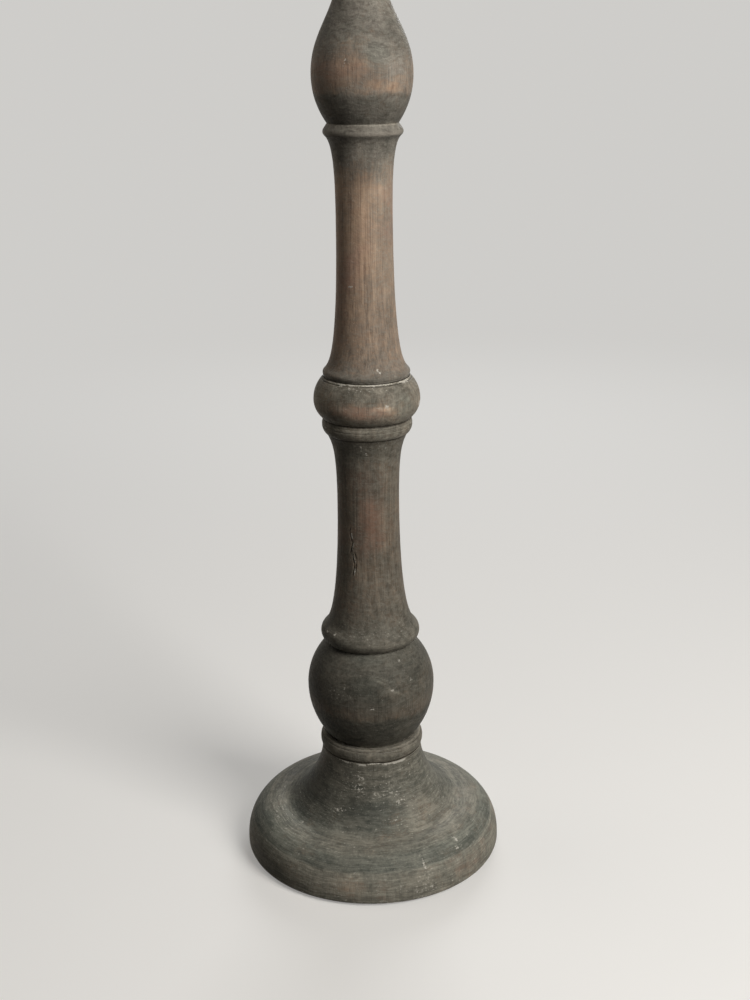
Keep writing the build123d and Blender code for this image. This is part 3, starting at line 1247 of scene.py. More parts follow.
@dataclass(frozen=True)
class TurnedPiece:
    """A piece spun on the lathe, rebuilt over its solid's outline.

    Attributes:
        node: The solid that it stands for.
        name: The new piece's name.
        body: The body that carries it.
        slot: The record's material slot; not used.
        sides: Points round each ring.
        gathered: How far those points gather on the camera's side, where the fine marks are.
        step: Spacing of the rings.
        bore: Radius up to which the surface lies inside a joint.
        seats: Heights of its flat joint faces.
        wobble: How far it is out of round.
        chatter: Depth of the lathe's broad lines.
        softened: How far its edges are worn down.
        hammered: How far a hammer has raised its sheet.
        wander: How far its zones stray up and down.
        flecked: How far pale flecks show all over it.
        zones: How it looks from its bottom up.
        grooves: Fine lines cut round it.
        marks: Knocks, scratches, worn patches, painted highlights and painted shade.
        seed: Picks its noise.
        SEAM_DIRT: Reach of the dirt beside a joint.
        HOLLOW_DIRT_AND_SHADE: Reach of the dirt and painted shade in an inner corner.
        RUBBED_EDGE: Reach of the rubbed finish at an outer corner.
        ROUND_EDGE: Reach of the worn shape there.
        DIRT_SPREAD: Reach of a groove's dirt, as a share of its cut.
    """

    SEAM_DIRT: ClassVar[float] = 0.5 * MM
    HOLLOW_DIRT_AND_SHADE: ClassVar[float] = 1.1 * MM
    RUBBED_EDGE: ClassVar[float] = 0.7 * MM
    ROUND_EDGE: ClassVar[float] = 0.5 * MM
    DIRT_SPREAD: ClassVar[float] = 1.3

    node: str
    name: str
    body: Body = Body.STAND
    slot: Slot = Slot.AGED_WOOD
    sides: int = 256
    gathered: float = 0.55
    step: float = 0.9 * MM
    bore: float = 0.0
    seats: tuple[float, ...] = (-1.0,)
    wobble: float = 0.12 * MM
    chatter: float = 0.035 * MM
    softened: float = 0.16 * MM
    hammered: float = 0.0
    wander: float = 1.5 * MM
    flecked: float = 0.0
    zones: tuple[Zone, ...] = (Zone(0.0, 1.0),)
    grooves: tuple[Groove, ...] = ()
    marks: tuple[Mark, ...] = ()
    seed: int = 1

    def build(self, frame: dict) -> bpy.types.Object:
        """Spin the piece and paint its layers.

        Args:
            frame: The loaded frame.

        Returns:
            The piece, riding on its body in place of the solid.
        """
        outline = Outline.of_solid(frame["nodes"][self.node])
        lines = [groove.height * MM for groove in self.grooves]
        lathe = Lathe.over(outline, self.step, self.bore, self.seats, lines)
        angle = np.linspace(-math.pi, math.pi, self.sides, endpoint=False)
        angle = angle - self.gathered * np.sin(angle)
        places = np.stack(
            np.broadcast_arrays(
                lathe.radius[:, None] * np.sin(angle),
                -lathe.radius[:, None] * np.cos(angle),
                lathe.height[:, None],
            ),
            axis=-1,
        )
        layers = self.paint(lathe, angle, places)
        piece = self.shape(lathe, angle, places)
        for layer, values in layers.items():
            self.lay(piece, layer, np.broadcast_to(values, places.shape[:2]), lathe)
        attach(piece, self.body.value)
        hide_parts(self.node)
        log.info("%s: %d points over %s", self.name, len(piece.data.vertices), self.node)
        return piece

    def paint(self, lathe: Lathe, angle: np.ndarray, places: np.ndarray) -> dict[Layer, np.ndarray]:
        """Work out the layers that the finish reads.

        Args:
            lathe: The rings.
            angle: Azimuth of each point round a ring.
            places: Where the points are, rings by sides.

        Returns:
            Values for each layer, rings by sides.
        """
        heights = [zone.height * MM for zone in self.zones]
        stray = Pattern.STRAY.at(places, self.seed) - 0.5
        level = lathe.height[:, None] + 2.0 * self.wander * stray
        patchy = 0.5 + 0.7 * Pattern.DIRT.at(places, self.seed)
        crack = np.exp(-((lathe.seam / self.SEAM_DIRT) ** 2))[:, None]
        # Every inner corner is darkened all round: dirt and painted shade in one.
        corner = np.exp(-((lathe.hollow / self.HOLLOW_DIRT_AND_SHADE) ** 2))[:, None]
        rubbed = np.exp(-((lathe.edge / self.RUBBED_EDGE) ** 2))[:, None]
        layers = {
            Layer.RUN: lathe.run[:, None],
            Layer.TONE: np.interp(level, heights, [zone.tone for zone in self.zones]),
            Layer.COOL: np.interp(level, heights, [zone.cool for zone in self.zones]),
            Layer.BARE: np.interp(
                level + self.wander * stray, heights, [zone.bare for zone in self.zones]
            ),
            Layer.GRIME_AND_SHADE: np.maximum(crack, 0.75 * corner) * patchy,
            Layer.EDGE: rubbed * Pattern.RUBBING.at(places, self.seed) * 1.5,
            Layer.CHALK_AND_GLINT: np.full(places.shape[:2], self.flecked),
        }
        for groove in self.grooves:
            cut = self.cut(groove, lathe, self.DIRT_SPREAD)
            layers[Layer.GRIME_AND_SHADE] = layers[Layer.GRIME_AND_SHADE] + groove.dirt * cut * patchy
        for mark in self.marks:
            shown = mark.amount * self.trace(mark, lathe, angle, places)
            layers[mark.layer] = layers[mark.layer] + shown
        return layers

    def cut(self, groove: Groove, lathe: Lathe, spread: float) -> np.ndarray:
        """Give a groove's strength at each ring, spread over a share of its width."""
        middle = lathe.run[lathe.ring_at(groove.height * MM)]
        return np.exp(-(((lathe.run - middle) / (spread * (groove.width * MM))) ** 2))[:, None]

    def trace(self, mark: Mark, lathe: Lathe, angle: np.ndarray, places: np.ndarray) -> np.ndarray:
        """Give a mark's strength at each point.

        Args:
            mark: The mark.
            lathe: The rings.
            angle: Azimuth of each point round a ring.
            places: Where the points are.

        Returns:
            Values from 0 to 1, rings by sides.
        """
        middle = lathe.ring_at(mark.height * MM)
        turn = (angle - math.radians(mark.azimuth) + math.pi) % (2 * math.pi) - math.pi
        across = turn[None, :] * lathe.radius[middle]
        along = (lathe.run - lathe.run[middle])[:, None]
        lean = math.radians(mark.tilt)
        over = across * math.cos(lean) - along * math.sin(lean)
        up = along * math.cos(lean) + across * math.sin(lean)
        wide, tall = mark.wide * MM, mark.tall * MM
        fray = Pattern.FRAY.at(places, self.seed, min(wide, tall)) - 0.5
        far = (over / wide) ** 2 + (up / tall) ** 2
        return np.exp(-((far * (1.0 + 2.0 * mark.ragged * fray)) ** 1.5)) * lathe.skin[:, None]

    def shape(self, lathe: Lathe, angle: np.ndarray, places: np.ndarray) -> bpy.types.Object:
        """Spin the rings with their unevenness.

        Args:
            lathe: The rings.
            angle: Azimuth of each point round a ring.
            places: Where the points are.

        Returns:
            The piece.
        """
        offset = (Pattern.WOBBLE.at(places, self.seed, octaves=1) - 0.5) * 2.0 * self.wobble
        ridges = np.stack([lathe.run, np.zeros_like(lathe.run), np.zeros_like(lathe.run)], axis=-1)
        offset = offset + (
            (Pattern.RIDGES.at(ridges, self.seed) - 0.5) * 2.0 * self.chatter
        )[:, None]
        rounded = np.exp(-((lathe.edge / self.ROUND_EDGE) ** 2))[:, None]
        offset = offset - self.softened * rounded * (
            0.35 + 1.3 * Pattern.ROUNDING.at(places, self.seed)
        )
        for groove in self.grooves:
            cut = self.cut(groove, lathe, 1.0)
            offset = offset - groove.depth * MM * cut * (
                0.6 + 0.8 * Pattern.GROOVES.at(places, self.seed)
            )
        for mark in self.marks:
            if mark.depth:
                offset = offset - mark.depth * MM * self.trace(mark, lathe, angle, places)
        level = places * (1.0, 1.0, 0.0)
        lift = self.hammered * Pattern.HAMMER.at(level, self.seed, octaves=1)
        return spin(self.name, lathe, angle, offset * lathe.skin[:, None], lift)

    def lay(self, piece: bpy.types.Object, layer: Layer, values: np.ndarray, lathe: Lathe) -> None:
        """Write one layer on the piece's points, whose poles are single points.

        Args:
            piece: The piece.
            layer: The layer.
            values: Its values, rings by sides.
            lathe: The rings.
        """
        poles = lathe.radius < MERGE
        merged = np.repeat(poles[:, None], self.sides, axis=1)
        merged[:, 0] = False
        flat = np.asarray(values, np.float32)[~merged]
        piece.data.attributes.new(layer.value, "FLOAT", "POINT").data.foreach_set(
            "value", np.ascontiguousarray(flat)
        )

    def dress(self, piece: bpy.types.Object, material: bpy.types.Material) -> None:
        """Give the piece its finish."""
        piece.data.materials.append(material)


@dataclass
class Column:
    """The wooden stand: foot, the two lengths of the column and the cup on top.

    Attributes:
        foot: The broad foot.
        lower: Ring, ball, bead, lower stem, collar and knop.
        upper: Lip, upper stem, ring, onion bulb and neck.
        cup: The dish on top.
    """

    foot: TurnedPiece = TurnedPiece(
        node="foot",
        name="turned_foot",
        sides=352,
        bore=14.3 * MM,
        seats=(68.9 * MM,),
        seed=3,
        softened=0.3 * MM,
        wander=0.7 * MM,
        flecked=0.10,
        zones=(
            # The lowest row lifts the rim's bottom: painted light against the shade that falls
            # there.
            Zone(1.5, 1.20, 0.02, 0.30),
            Zone(4.5, 1.12, 0.06, 0.30),
            Zone(13, 1.12, 0.10, 0.30),
            Zone(19.9, 1.16, 0.06, 0.40),
            Zone(21.0, 0.84, 0.00, 0.95),
            Zone(26.5, 0.92, 0.00, 0.90),
            Zone(28.6, 1.06, 0.06, 0.45),
            Zone(30.6, 1.00, 0.06, 0.45),
            Zone(32.5, 0.66, 0.02, 0.70),
            Zone(40, 0.56, 0.00, 0.75),
            Zone(48, 0.54, 0.00, 0.65),
            Zone(56, 0.62, 0.02, 0.45),
            Zone(64, 0.76, 0.06, 0.35),
            Zone(69, 0.86, 0.10, 0.30),
        ),
        marks=(
            Mark(Layer.BARE, -12, 12, 10, 7, 0.22),
            Mark(Layer.COOL, -12, 12, 10, 7, -0.4),
            Mark(Layer.CHALK_AND_GLINT, 46, 26.2, 0.7, 3.6, 0.80, 0.1, -15, 0.7),
            Mark(Layer.CHALK_AND_GLINT, 44, 23, 1.2, 1.2, 0.6, ragged=0.9),
            Mark(Layer.CHALK_AND_GLINT, 24, 23, 0.6, 6, 0.42, 0.08, -8, 0.9),
            Mark(Layer.CHALK_AND_GLINT, 27, 8, 1.8, 2.4, 0.36, ragged=0.9),
            Mark(Layer.CHALK_AND_GLINT, 0, 2.4, 80, 0.8, 0.30, ragged=0.8),
            # Painted light on the right of the dish, where the lamp falls.
            Mark(Layer.TONE, 52, 42, 34, 22, 0.36),
            Mark(Layer.COOL, 52, 38, 30, 14, -0.45),
            Mark(Layer.BARE, 48, 38, 24, 14, 0.06),
            # Painted light on the shaded left shoulder, then painted shade on the left of the dish.
            Mark(Layer.TONE, -55, 27, 34, 9, 0.24),
            Mark(Layer.TONE, -70, 40, 30, 12, -0.12),
            Mark(Layer.CHALK_AND_GLINT, 12, 12, 0.5, 4, 0.34, 0.0, -6, 0.9),
            Mark(Layer.CHALK_AND_GLINT, 19, 9, 0.5, 5, 0.36, 0.0, 5, 0.9),
            Mark(Layer.CHALK_AND_GLINT, 31, 12, 0.5, 5, 0.38, 0.0, -4, 0.9),
            Mark(Layer.CHALK_AND_GLINT, 37, 9, 0.5, 4, 0.34, 0.0, 8, 0.9),
            Mark(Layer.CHALK_AND_GLINT, 43, 14, 0.5, 4, 0.36, 0.0, -5, 0.9),
            Mark(Layer.COOL, -60, 27, 30, 12, 0.40),
            Mark(Layer.COOL, 8, 38, 16, 9, 0.40),
            Mark(Layer.TONE, 8, 39, 14, 8, -0.10),
            Mark(Layer.TONE, -26, 33, 5, 5, 0.22, ragged=0.8),
            Mark(Layer.TONE, 32, 33, 8, 5, 0.22, ragged=0.8),
            # Painted light on the right of the shoulder.
            Mark(Layer.TONE, 45, 25, 22, 7, 0.14),
            Mark(Layer.CHALK_AND_GLINT, -28, 40.5, 7, 3, 0.22, ragged=0.9),
            Mark(Layer.CHALK_AND_GLINT, -60, 30, 20, 8, 0.12, ragged=0.9),
            Mark(Layer.CHALK_AND_GLINT, 24, 13, 6, 10, 0.10, ragged=0.9),
            Mark(Layer.CHALK_AND_GLINT, 27, 45, 7, 3, 0.16, ragged=0.9),
            Mark(Layer.CHALK_AND_GLINT, -18, 57, 9, 7, 0.17, ragged=0.9),
            Mark(Layer.CHALK_AND_GLINT, 10, 52, 14, 8, 0.12, ragged=0.9),
            Mark(Layer.CHALK_AND_GLINT, 22, 36, 5, 2, 0.18, ragged=0.9),
            Mark(Layer.CHALK_AND_GLINT, -32, 68.2, 5, 0.9, 0.75, ragged=0.9),
            Mark(Layer.CHALK_AND_GLINT, -12, 68.0, 3, 1.2, 0.80, ragged=0.9),
            Mark(Layer.CHALK_AND_GLINT, 2, 68.3, 5, 0.8, 0.80, ragged=0.9),
            Mark(Layer.CHALK_AND_GLINT, 16, 68.1, 3, 1.1, 0.75, ragged=0.9),
            Mark(Layer.CHALK_AND_GLINT, 31, 68.0, 6, 1.2, 0.90, ragged=0.9),
            # Painted shade on the left of the rim.
            Mark(Layer.TONE, -62, 7, 26, 9, -0.32),
            # Lifts the bottom edge: its worn pale line, and painted light against the shade that
            # falls on it.
            Mark(Layer.TONE, 14, 2.6, 70, 1.2, 0.40, ragged=0.6),
            Mark(Layer.COOL, -55, 31, 28, 6, 0.45),
            Mark(Layer.TONE, -55, 31, 24, 5, -0.12),
        ),
    )
    lower: TurnedPiece = TurnedPiece(
        node="lower_column",
        name="turned_lower_column",
        sides=248,
        gathered=0.62,
        bore=14.3 * MM,
        seats=(68.9 * MM, 305.9 * MM),
        seed=5,
        grooves=(
            Groove(76.4, 0.35, 0.25),
            Groove(79.2, 0.4, 0.2),
            Groove(277.1, 0.25, 0.2, 0.2),
            Groove(279.4, 0.25, 0.2, 0.3),
            Groove(304.9, 0.35, 0.25, 0.7),
        ),
        zones=(
            Zone(69, 0.90, 0.02, 0.45),
            Zone(77, 0.96, 0.05, 0.45),
            Zone(80, 0.44, 0.02, 0.65),
            Zone(99, 0.42, 0.03, 0.65),
            Zone(102.5, 0.58, 0.22, 0.25),
            Zone(106, 0.58, 0.22, 0.25),
            Zone(111, 0.52, 0.08, 0.50),
            Zone(132, 0.54, 0.03, 0.60),
            Zone(140, 0.56, 0.00, 0.60),
            Zone(145, 0.67, 0.00, 0.50),
            Zone(146.4, 0.82, 0.04, 0.45),
            Zone(149, 0.74, 0.04, 0.45),
            Zone(154, 0.66, 0.06, 0.40),
            Zone(175, 0.76, 0.24, 0.25),
            Zone(205, 0.70, 0.32, 0.25),
            Zone(222, 0.70, 0.34, 0.25),
            Zone(244, 0.72, 0.24, 0.25),
            Zone(260, 0.72, 0.12, 0.35),
            Zone(271, 0.66, 0.04, 0.40),
            Zone(273, 0.96, 0.04, 0.35),
            Zone(281, 0.98, 0.05, 0.35),
            Zone(284, 0.98, 0.14, 0.30),
            Zone(290, 1.20, 0.20, 0.22),
            Zone(297, 1.04, 0.14, 0.30),
            Zone(306, 1.04, 0.05, 0.35),
        ),
        marks=(
            Mark(Layer.GRIME_AND_SHADE, 12, 305.8, 60, 0.7, -1.0),
            Mark(Layer.TONE, 16, 305.7, 36, 0.6, 0.6, ragged=0.5),
            Mark(Layer.CHALK_AND_GLINT, 16, 305.5, 18, 0.8, 0.58, ragged=0.9),
            Mark(Layer.CHALK_AND_GLINT, -40, 305.5, 18, 0.7, 0.46, ragged=0.9),
            Mark(Layer.CHALK_AND_GLINT, 58, 305.2, 5, 1.2, 0.55, ragged=0.9),
            Mark(Layer.CHALK_AND_GLINT, -15, 303.5, 26, 1.6, 0.26, ragged=0.9),
            Mark(Layer.BARE, -2, 291, 21, 5.0, 0.30),
            Mark(Layer.COOL, -14, 290, 15, 4.0, -0.5),
            Mark(Layer.TONE, -4, 291, 16, 4.0, 0.14),
            # Painted highlights: a small glint on the left of the knop's belly and a bright streaky
            # glint on its right, lightened with tone and chalk.
            Mark(Layer.TONE, -23, 293, 2.2, 0.9, 0.4, ragged=0.9),
            Mark(Layer.CHALK_AND_GLINT, -23, 293.2, 1.0, 0.8, 0.50, ragged=0.9),
            Mark(Layer.TONE, 16, 293.2, 6.0, 1.1, 0.85, ragged=0.9),
            Mark(Layer.CHALK_AND_GLINT, 15, 293.4, 2.8, 0.7, 0.42, ragged=0.9),
            Mark(Layer.CHALK_AND_GLINT, 21.5, 293.5, 1.3, 1.3, 0.62, ragged=0.9),
            # Painted shade on the lit right of the knop and painted light on its shaded left.
            Mark(Layer.TONE, 65, 291, 10, 8, -0.16),
            Mark(Layer.TONE, -70, 291, 14, 8, 0.32),
            Mark(Layer.CHALK_AND_GLINT, -10, 268, 0.9, 1.5, 0.65, ragged=0.9),
            Mark(Layer.CHALK_AND_GLINT, -3, 264.5, 1.5, 0.9, 0.70, ragged=0.9),
            Mark(Layer.CHALK_AND_GLINT, 28, 267, 5, 2.5, 0.18, ragged=0.9),
            Mark(Layer.COOL, 44, 292, 8, 7, 0.55),
            Mark(Layer.CHALK_AND_GLINT, 80, 290.5, 2.0, 1.2, 1.0),
            Mark(Layer.GRIME_AND_SHADE, -36, 216, 0.35, 2.0, 0.8, 0.3, 25, 0.9),
            Mark(Layer.GRIME_AND_SHADE, -34, 211, 0.4, 3.0, 0.8, 0.35, -18, 0.9),
            Mark(Layer.GRIME_AND_SHADE, -33, 204, 0.5, 3.5, 0.9, 0.4, 14, 0.9),
            Mark(Layer.GRIME_AND_SHADE, -29, 198, 0.5, 3.5, 0.9, 0.4, -12, 0.9),
            Mark(Layer.GRIME_AND_SHADE, -28, 191, 0.4, 4.0, 0.9, 0.35, 10, 0.9),
            Mark(Layer.CHALK_AND_GLINT, -32.5, 212, 0.5, 2.6, 0.75, 0.0, -10, 0.9),
            Mark(Layer.CHALK_AND_GLINT, -30.5, 205, 0.5, 2.6, 0.75, 0.0, 14, 0.9),
            Mark(Layer.CHALK_AND_GLINT, -27.2, 198, 0.5, 3.0, 0.80, 0.0, -12, 0.9),
            Mark(Layer.CHALK_AND_GLINT, -26.0, 190, 0.5, 2.6, 0.75, 0.0, 10, 0.9),
            Mark(Layer.GRIME_AND_SHADE, -25.5, 201, 0.35, 2.6, 0.8, 0.3, -16, 0.9),
            Mark(Layer.GRIME_AND_SHADE, -24, 192.5, 0.35, 3.0, 0.8, 0.3, 6, 0.9),
            Mark(Layer.BARE, 2, 218, 7, 16, 0.22),
            Mark(Layer.COOL, 0, 218, 9, 20, -0.5),
            Mark(Layer.COOL, -15, 245, 12, 12, -0.3),
            Mark(Layer.CHALK_AND_GLINT, -64, 149.8, 1.0, 1.0, 1.0),
            Mark(Layer.CHALK_AND_GLINT, -48.5, 150, 1.0, 1.0, 1.0),
            Mark(Layer.CHALK_AND_GLINT, 33, 136, 2.6, 0.9, 0.60, tilt=20, ragged=0.9),
            Mark(Layer.TONE, 8, 126.2, 0.6, 6, 0.45, 0.05, -62, 0.6),
            Mark(Layer.TONE, 13, 127.4, 0.5, 7, 0.30, 0.0, -66, 0.6),
            Mark(Layer.CHALK_AND_GLINT, 20, 121, 1.3, 0.8, 0.50, ragged=0.9),
            Mark(Layer.TONE, 24, 119, 0.6, 7, 0.40, 0.05, -58, 0.6),
            Mark(Layer.CHALK_AND_GLINT, 41.5, 124, 0.8, 2.4, 0.52, 0.05, -25, 0.9),
            Mark(Layer.CHALK_AND_GLINT, -30, 118, 7, 7, 0.24, ragged=0.9),
            Mark(Layer.CHALK_AND_GLINT, -18, 152, 12, 5, 0.20, ragged=0.9),
            Mark(Layer.CHALK_AND_GLINT, 30, 152, 14, 5, 0.16, ragged=0.9),
            Mark(Layer.TONE, -4, 138, 12, 4, 0.14),
            Mark(Layer.COOL, -4, 138, 12, 4, 0.30),
            Mark(Layer.CHALK_AND_GLINT, 38, 79.5, 7, 0.8, 0.34, ragged=0.9),
            # Less darkening in the groove on the lit right of the ring, so its dark line stays
            # stronger on the shaded left as painted shade.
            Mark(Layer.GRIME_AND_SHADE, 25, 79, 30, 3, -0.6),
            Mark(Layer.CHALK_AND_GLINT, 1, 109.8, 1.3, 0.9, 0.8, 0.12, ragged=0.9),
            Mark(Layer.TONE, 0, 124, 11, 8, -0.05),
            Mark(Layer.COOL, 0, 124, 11, 8, 0.4),
            # Painted shade on the left of the ball and of the ring below it.
            Mark(Layer.TONE, -76, 112, 14, 22, -0.13),
            Mark(Layer.TONE, -74, 75, 12, 6, -0.20),
            Mark(Layer.CHALK_AND_GLINT, 78, 290.5, 1.6, 1.6, 0.8, 0.3, ragged=0.9),
            Mark(Layer.GRIME_AND_SHADE, 0, 140.3, 200, 2, -0.7),
        ),
    )
    upper: TurnedPiece = TurnedPiece(
        node="upper_column",
        name="turned_upper_column",
        sides=260,
        bore=9.4 * MM,
        seats=(305.9 * MM, 549.5 * MM),
        seed=7,
        grooves=(Groove(306.9, 0.2, 0.3, 0.7),),
        zones=(
            Zone(306, 0.90, 0.05, 0.30),
            Zone(312, 0.90, 0.30, 0.22),
            Zone(322, 1.00, 0.50, 0.25),
            Zone(345, 1.10, 0.62, 0.20),
            Zone(372, 1.24, 0.66, 0.15),
            Zone(412, 1.26, 0.62, 0.15),
            Zone(422, 1.10, 0.38, 0.25),
            Zone(432, 0.90, 0.06, 0.35),
            Zone(440, 0.80, 0.00, 0.40),
            Zone(441.6, 1.05, 0.04, 0.30),
            Zone(443, 0.86, 0.05, 0.35),
            Zone(446.4, 0.96, 0.05, 0.35),
            Zone(448, 0.62, 0.05, 0.40),
            Zone(461.5, 0.72, 0.06, 0.40),
            Zone(464.0, 1.00, 0.36, 0.20),
            Zone(477, 1.05, 0.46, 0.20),
            Zone(485, 0.92, 0.20, 0.35),
            Zone(494, 0.86, 0.05, 0.40),
            Zone(512, 0.92, 0.06, 0.30),
            Zone(549, 0.90, 0.05, 0.30),
        ),
        marks=(
            Mark(Layer.BARE, -14, 474, 9, 8, 0.25),
            Mark(Layer.BARE, -38, 475, 10, 8, 0.12),
            Mark(Layer.COOL, -25, 475, 14, 8, -0.30),
            Mark(Layer.BARE, 42, 478, 9, 6, -0.30),
            # Painted light on the right of the bulb's belly.
            Mark(Layer.TONE, 46, 473, 9, 9, 0.14),
            # Painted highlights along the upper ring's top edge and, on the right, along its lower
            # edge.
            Mark(Layer.TONE, 0, 446.8, 90, 0.5, 0.35, ragged=0.8),
            Mark(Layer.TONE, 35, 441.8, 14, 0.6, 0.30, ragged=0.8),
            Mark(Layer.BARE, 14, 468, 5, 3, 0.35),
            Mark(Layer.BARE, 35, 466, 5, 3, 0.35),
            Mark(Layer.BARE, 17, 482, 7, 6, -0.40),
            Mark(Layer.COOL, 17, 482, 7, 6, 0.30),
            Mark(Layer.TONE, -6, 419, 9, 9, -0.35),
            # Painted shade low on the right of the upper stem, then painted light high on its
            # right.
            Mark(Layer.TONE, 50, 335, 9, 16, -0.16),
            Mark(Layer.TONE, 44, 420, 7, 10, 0.12),
            Mark(Layer.TONE, -24, 402, 4, 14, -0.25, ragged=0.9),
            Mark(Layer.BARE, -4, 395, 5, 30, 0.20),
            Mark(Layer.BARE, 55, 380, 12, 40, -0.20),
            Mark(Layer.COOL, 55, 380, 12, 40, 0.25),
            Mark(Layer.CHALK_AND_GLINT, -19, 480, 0.6, 3, 0.55, 0.05, 12, 0.9),
            Mark(Layer.CHALK_AND_GLINT, -31, 359.8, 1.6, 0.9, 0.55, ragged=0.9),
            Mark(Layer.CHALK_AND_GLINT, -24, 359.2, 1.8, 0.7, 0.50, ragged=0.9),
            Mark(Layer.CHALK_AND_GLINT, 16, 313.2, 1.0, 0.6, 0.85, tilt=-30, ragged=0.9),
            Mark(Layer.CHALK_AND_GLINT, 19.5, 311.8, 1.4, 0.6, 0.85, tilt=35, ragged=0.9),
            # Less darkening at the seam on its lit right, so its dark line stays stronger on the
            # shaded left as painted shade.
            Mark(Layer.GRIME_AND_SHADE, 25, 306.4, 26, 0.7, -0.45),
            # Painted shade on the right of the upper stem.
            Mark(Layer.TONE, 48, 375, 9, 36, -0.10),
            Mark(Layer.GRIME_AND_SHADE, 0, 447.1, 200, 2, -0.9),
        ),
    )
    cup: TurnedPiece = TurnedPiece(
        node="candle_cup",
        name="turned_candle_cup",
        sides=256,
        step=1.0 * MM,
        bore=9.4 * MM,
        seats=(549.5 * MM,),
        seed=9,
        zones=(
            Zone(549, 0.85, 0.05),
            Zone(560, 0.78, 0.05),
            Zone(568, 0.80, 0.22),
            Zone(575, 0.85, 0.25),
            Zone(579, 0.95, 0.10),
        ),
        marks=(
            Mark(Layer.CHALK_AND_GLINT, 60, 577, 1.6, 1.2, 0.5, 0.3),
            Mark(Layer.BARE, -40, 572, 14, 6, 0.35),
            Mark(Layer.CHALK_AND_GLINT, 200, 565, 0.5, 5, 0.3, 0.06, 40),
        ),
    )

    def build(self, frame: dict, effects: Effects) -> None:
        """Build and dress the four wooden pieces.

        Args:
            frame: The loaded frame.
            effects: The shared effects.
        """
        stem = AgedWood("worn_stem_wood")
        bulb = AgedWood(
            "worn_bulb_wood",
            wash_pale=(0.288, 0.258, 0.216),
            wash_deep=(0.138, 0.119, 0.099),
            bare_pale=(0.440, 0.314, 0.218),
            bare_red=(0.308, 0.194, 0.142),
            hatched=0.45,
            grained=0.0,
            contrast=1.6,
        )
        base = AgedWood(
            "worn_foot_wood",
            wash_pale=(0.285, 0.262, 0.210),
            wash_deep=(0.150, 0.138, 0.110),
            cool_pale=(0.235, 0.236, 0.195),
            cool_deep=(0.118, 0.124, 0.104),
            streaked=0.70,
            hatched=0.10,
            grained=0.0,
            contrast=2.5,
            dusty=0.1,
        )
        foot_wood = base.material(effects)
        for part, material in (
            (self.foot, foot_wood),
            (self.lower, stem.material(effects)),
            (self.upper, bulb.material(effects)),
            (self.cup, foot_wood),
        ):
            part.dress(part.build(frame), material)


@dataclass
class Ironwork:
    """The loose drip pan and the spike that it lies round.

    Attributes:
        pan: The pan.
        spike: The spike with its collar and shank.
    """

    pan: TurnedPiece = TurnedPiece(
        node="drip_pan",
        name="hammered_drip_pan",
        body=Body.PAN,
        slot=Slot.IRON,
        sides=256,
        step=0.8 * MM,
        wobble=0.0,
        chatter=0.0,
        softened=0.0,
        hammered=0.3 * MM,
        seed=11,
    )
    spike: TurnedPiece = TurnedPiece(
        node="pricket",
        name="forged_pricket",
        slot=Slot.IRON,
        sides=64,
        step=0.8 * MM,
        bore=0.2 * MM,
        seats=(572.5 * MM,),
        wobble=0.06 * MM,
        chatter=0.03 * MM,
        softened=0.1 * MM,
        seed=13,
    )

    def build(self, frame: dict, effects: Effects) -> None:
        """Build and dress the pan and the spike.

        Args:
            frame: The loaded frame.
            effects: The shared effects.
        """
        material = BlackIron().material(effects)
        for part in (self.pan, self.spike):
            part.dress(part.build(frame), material)


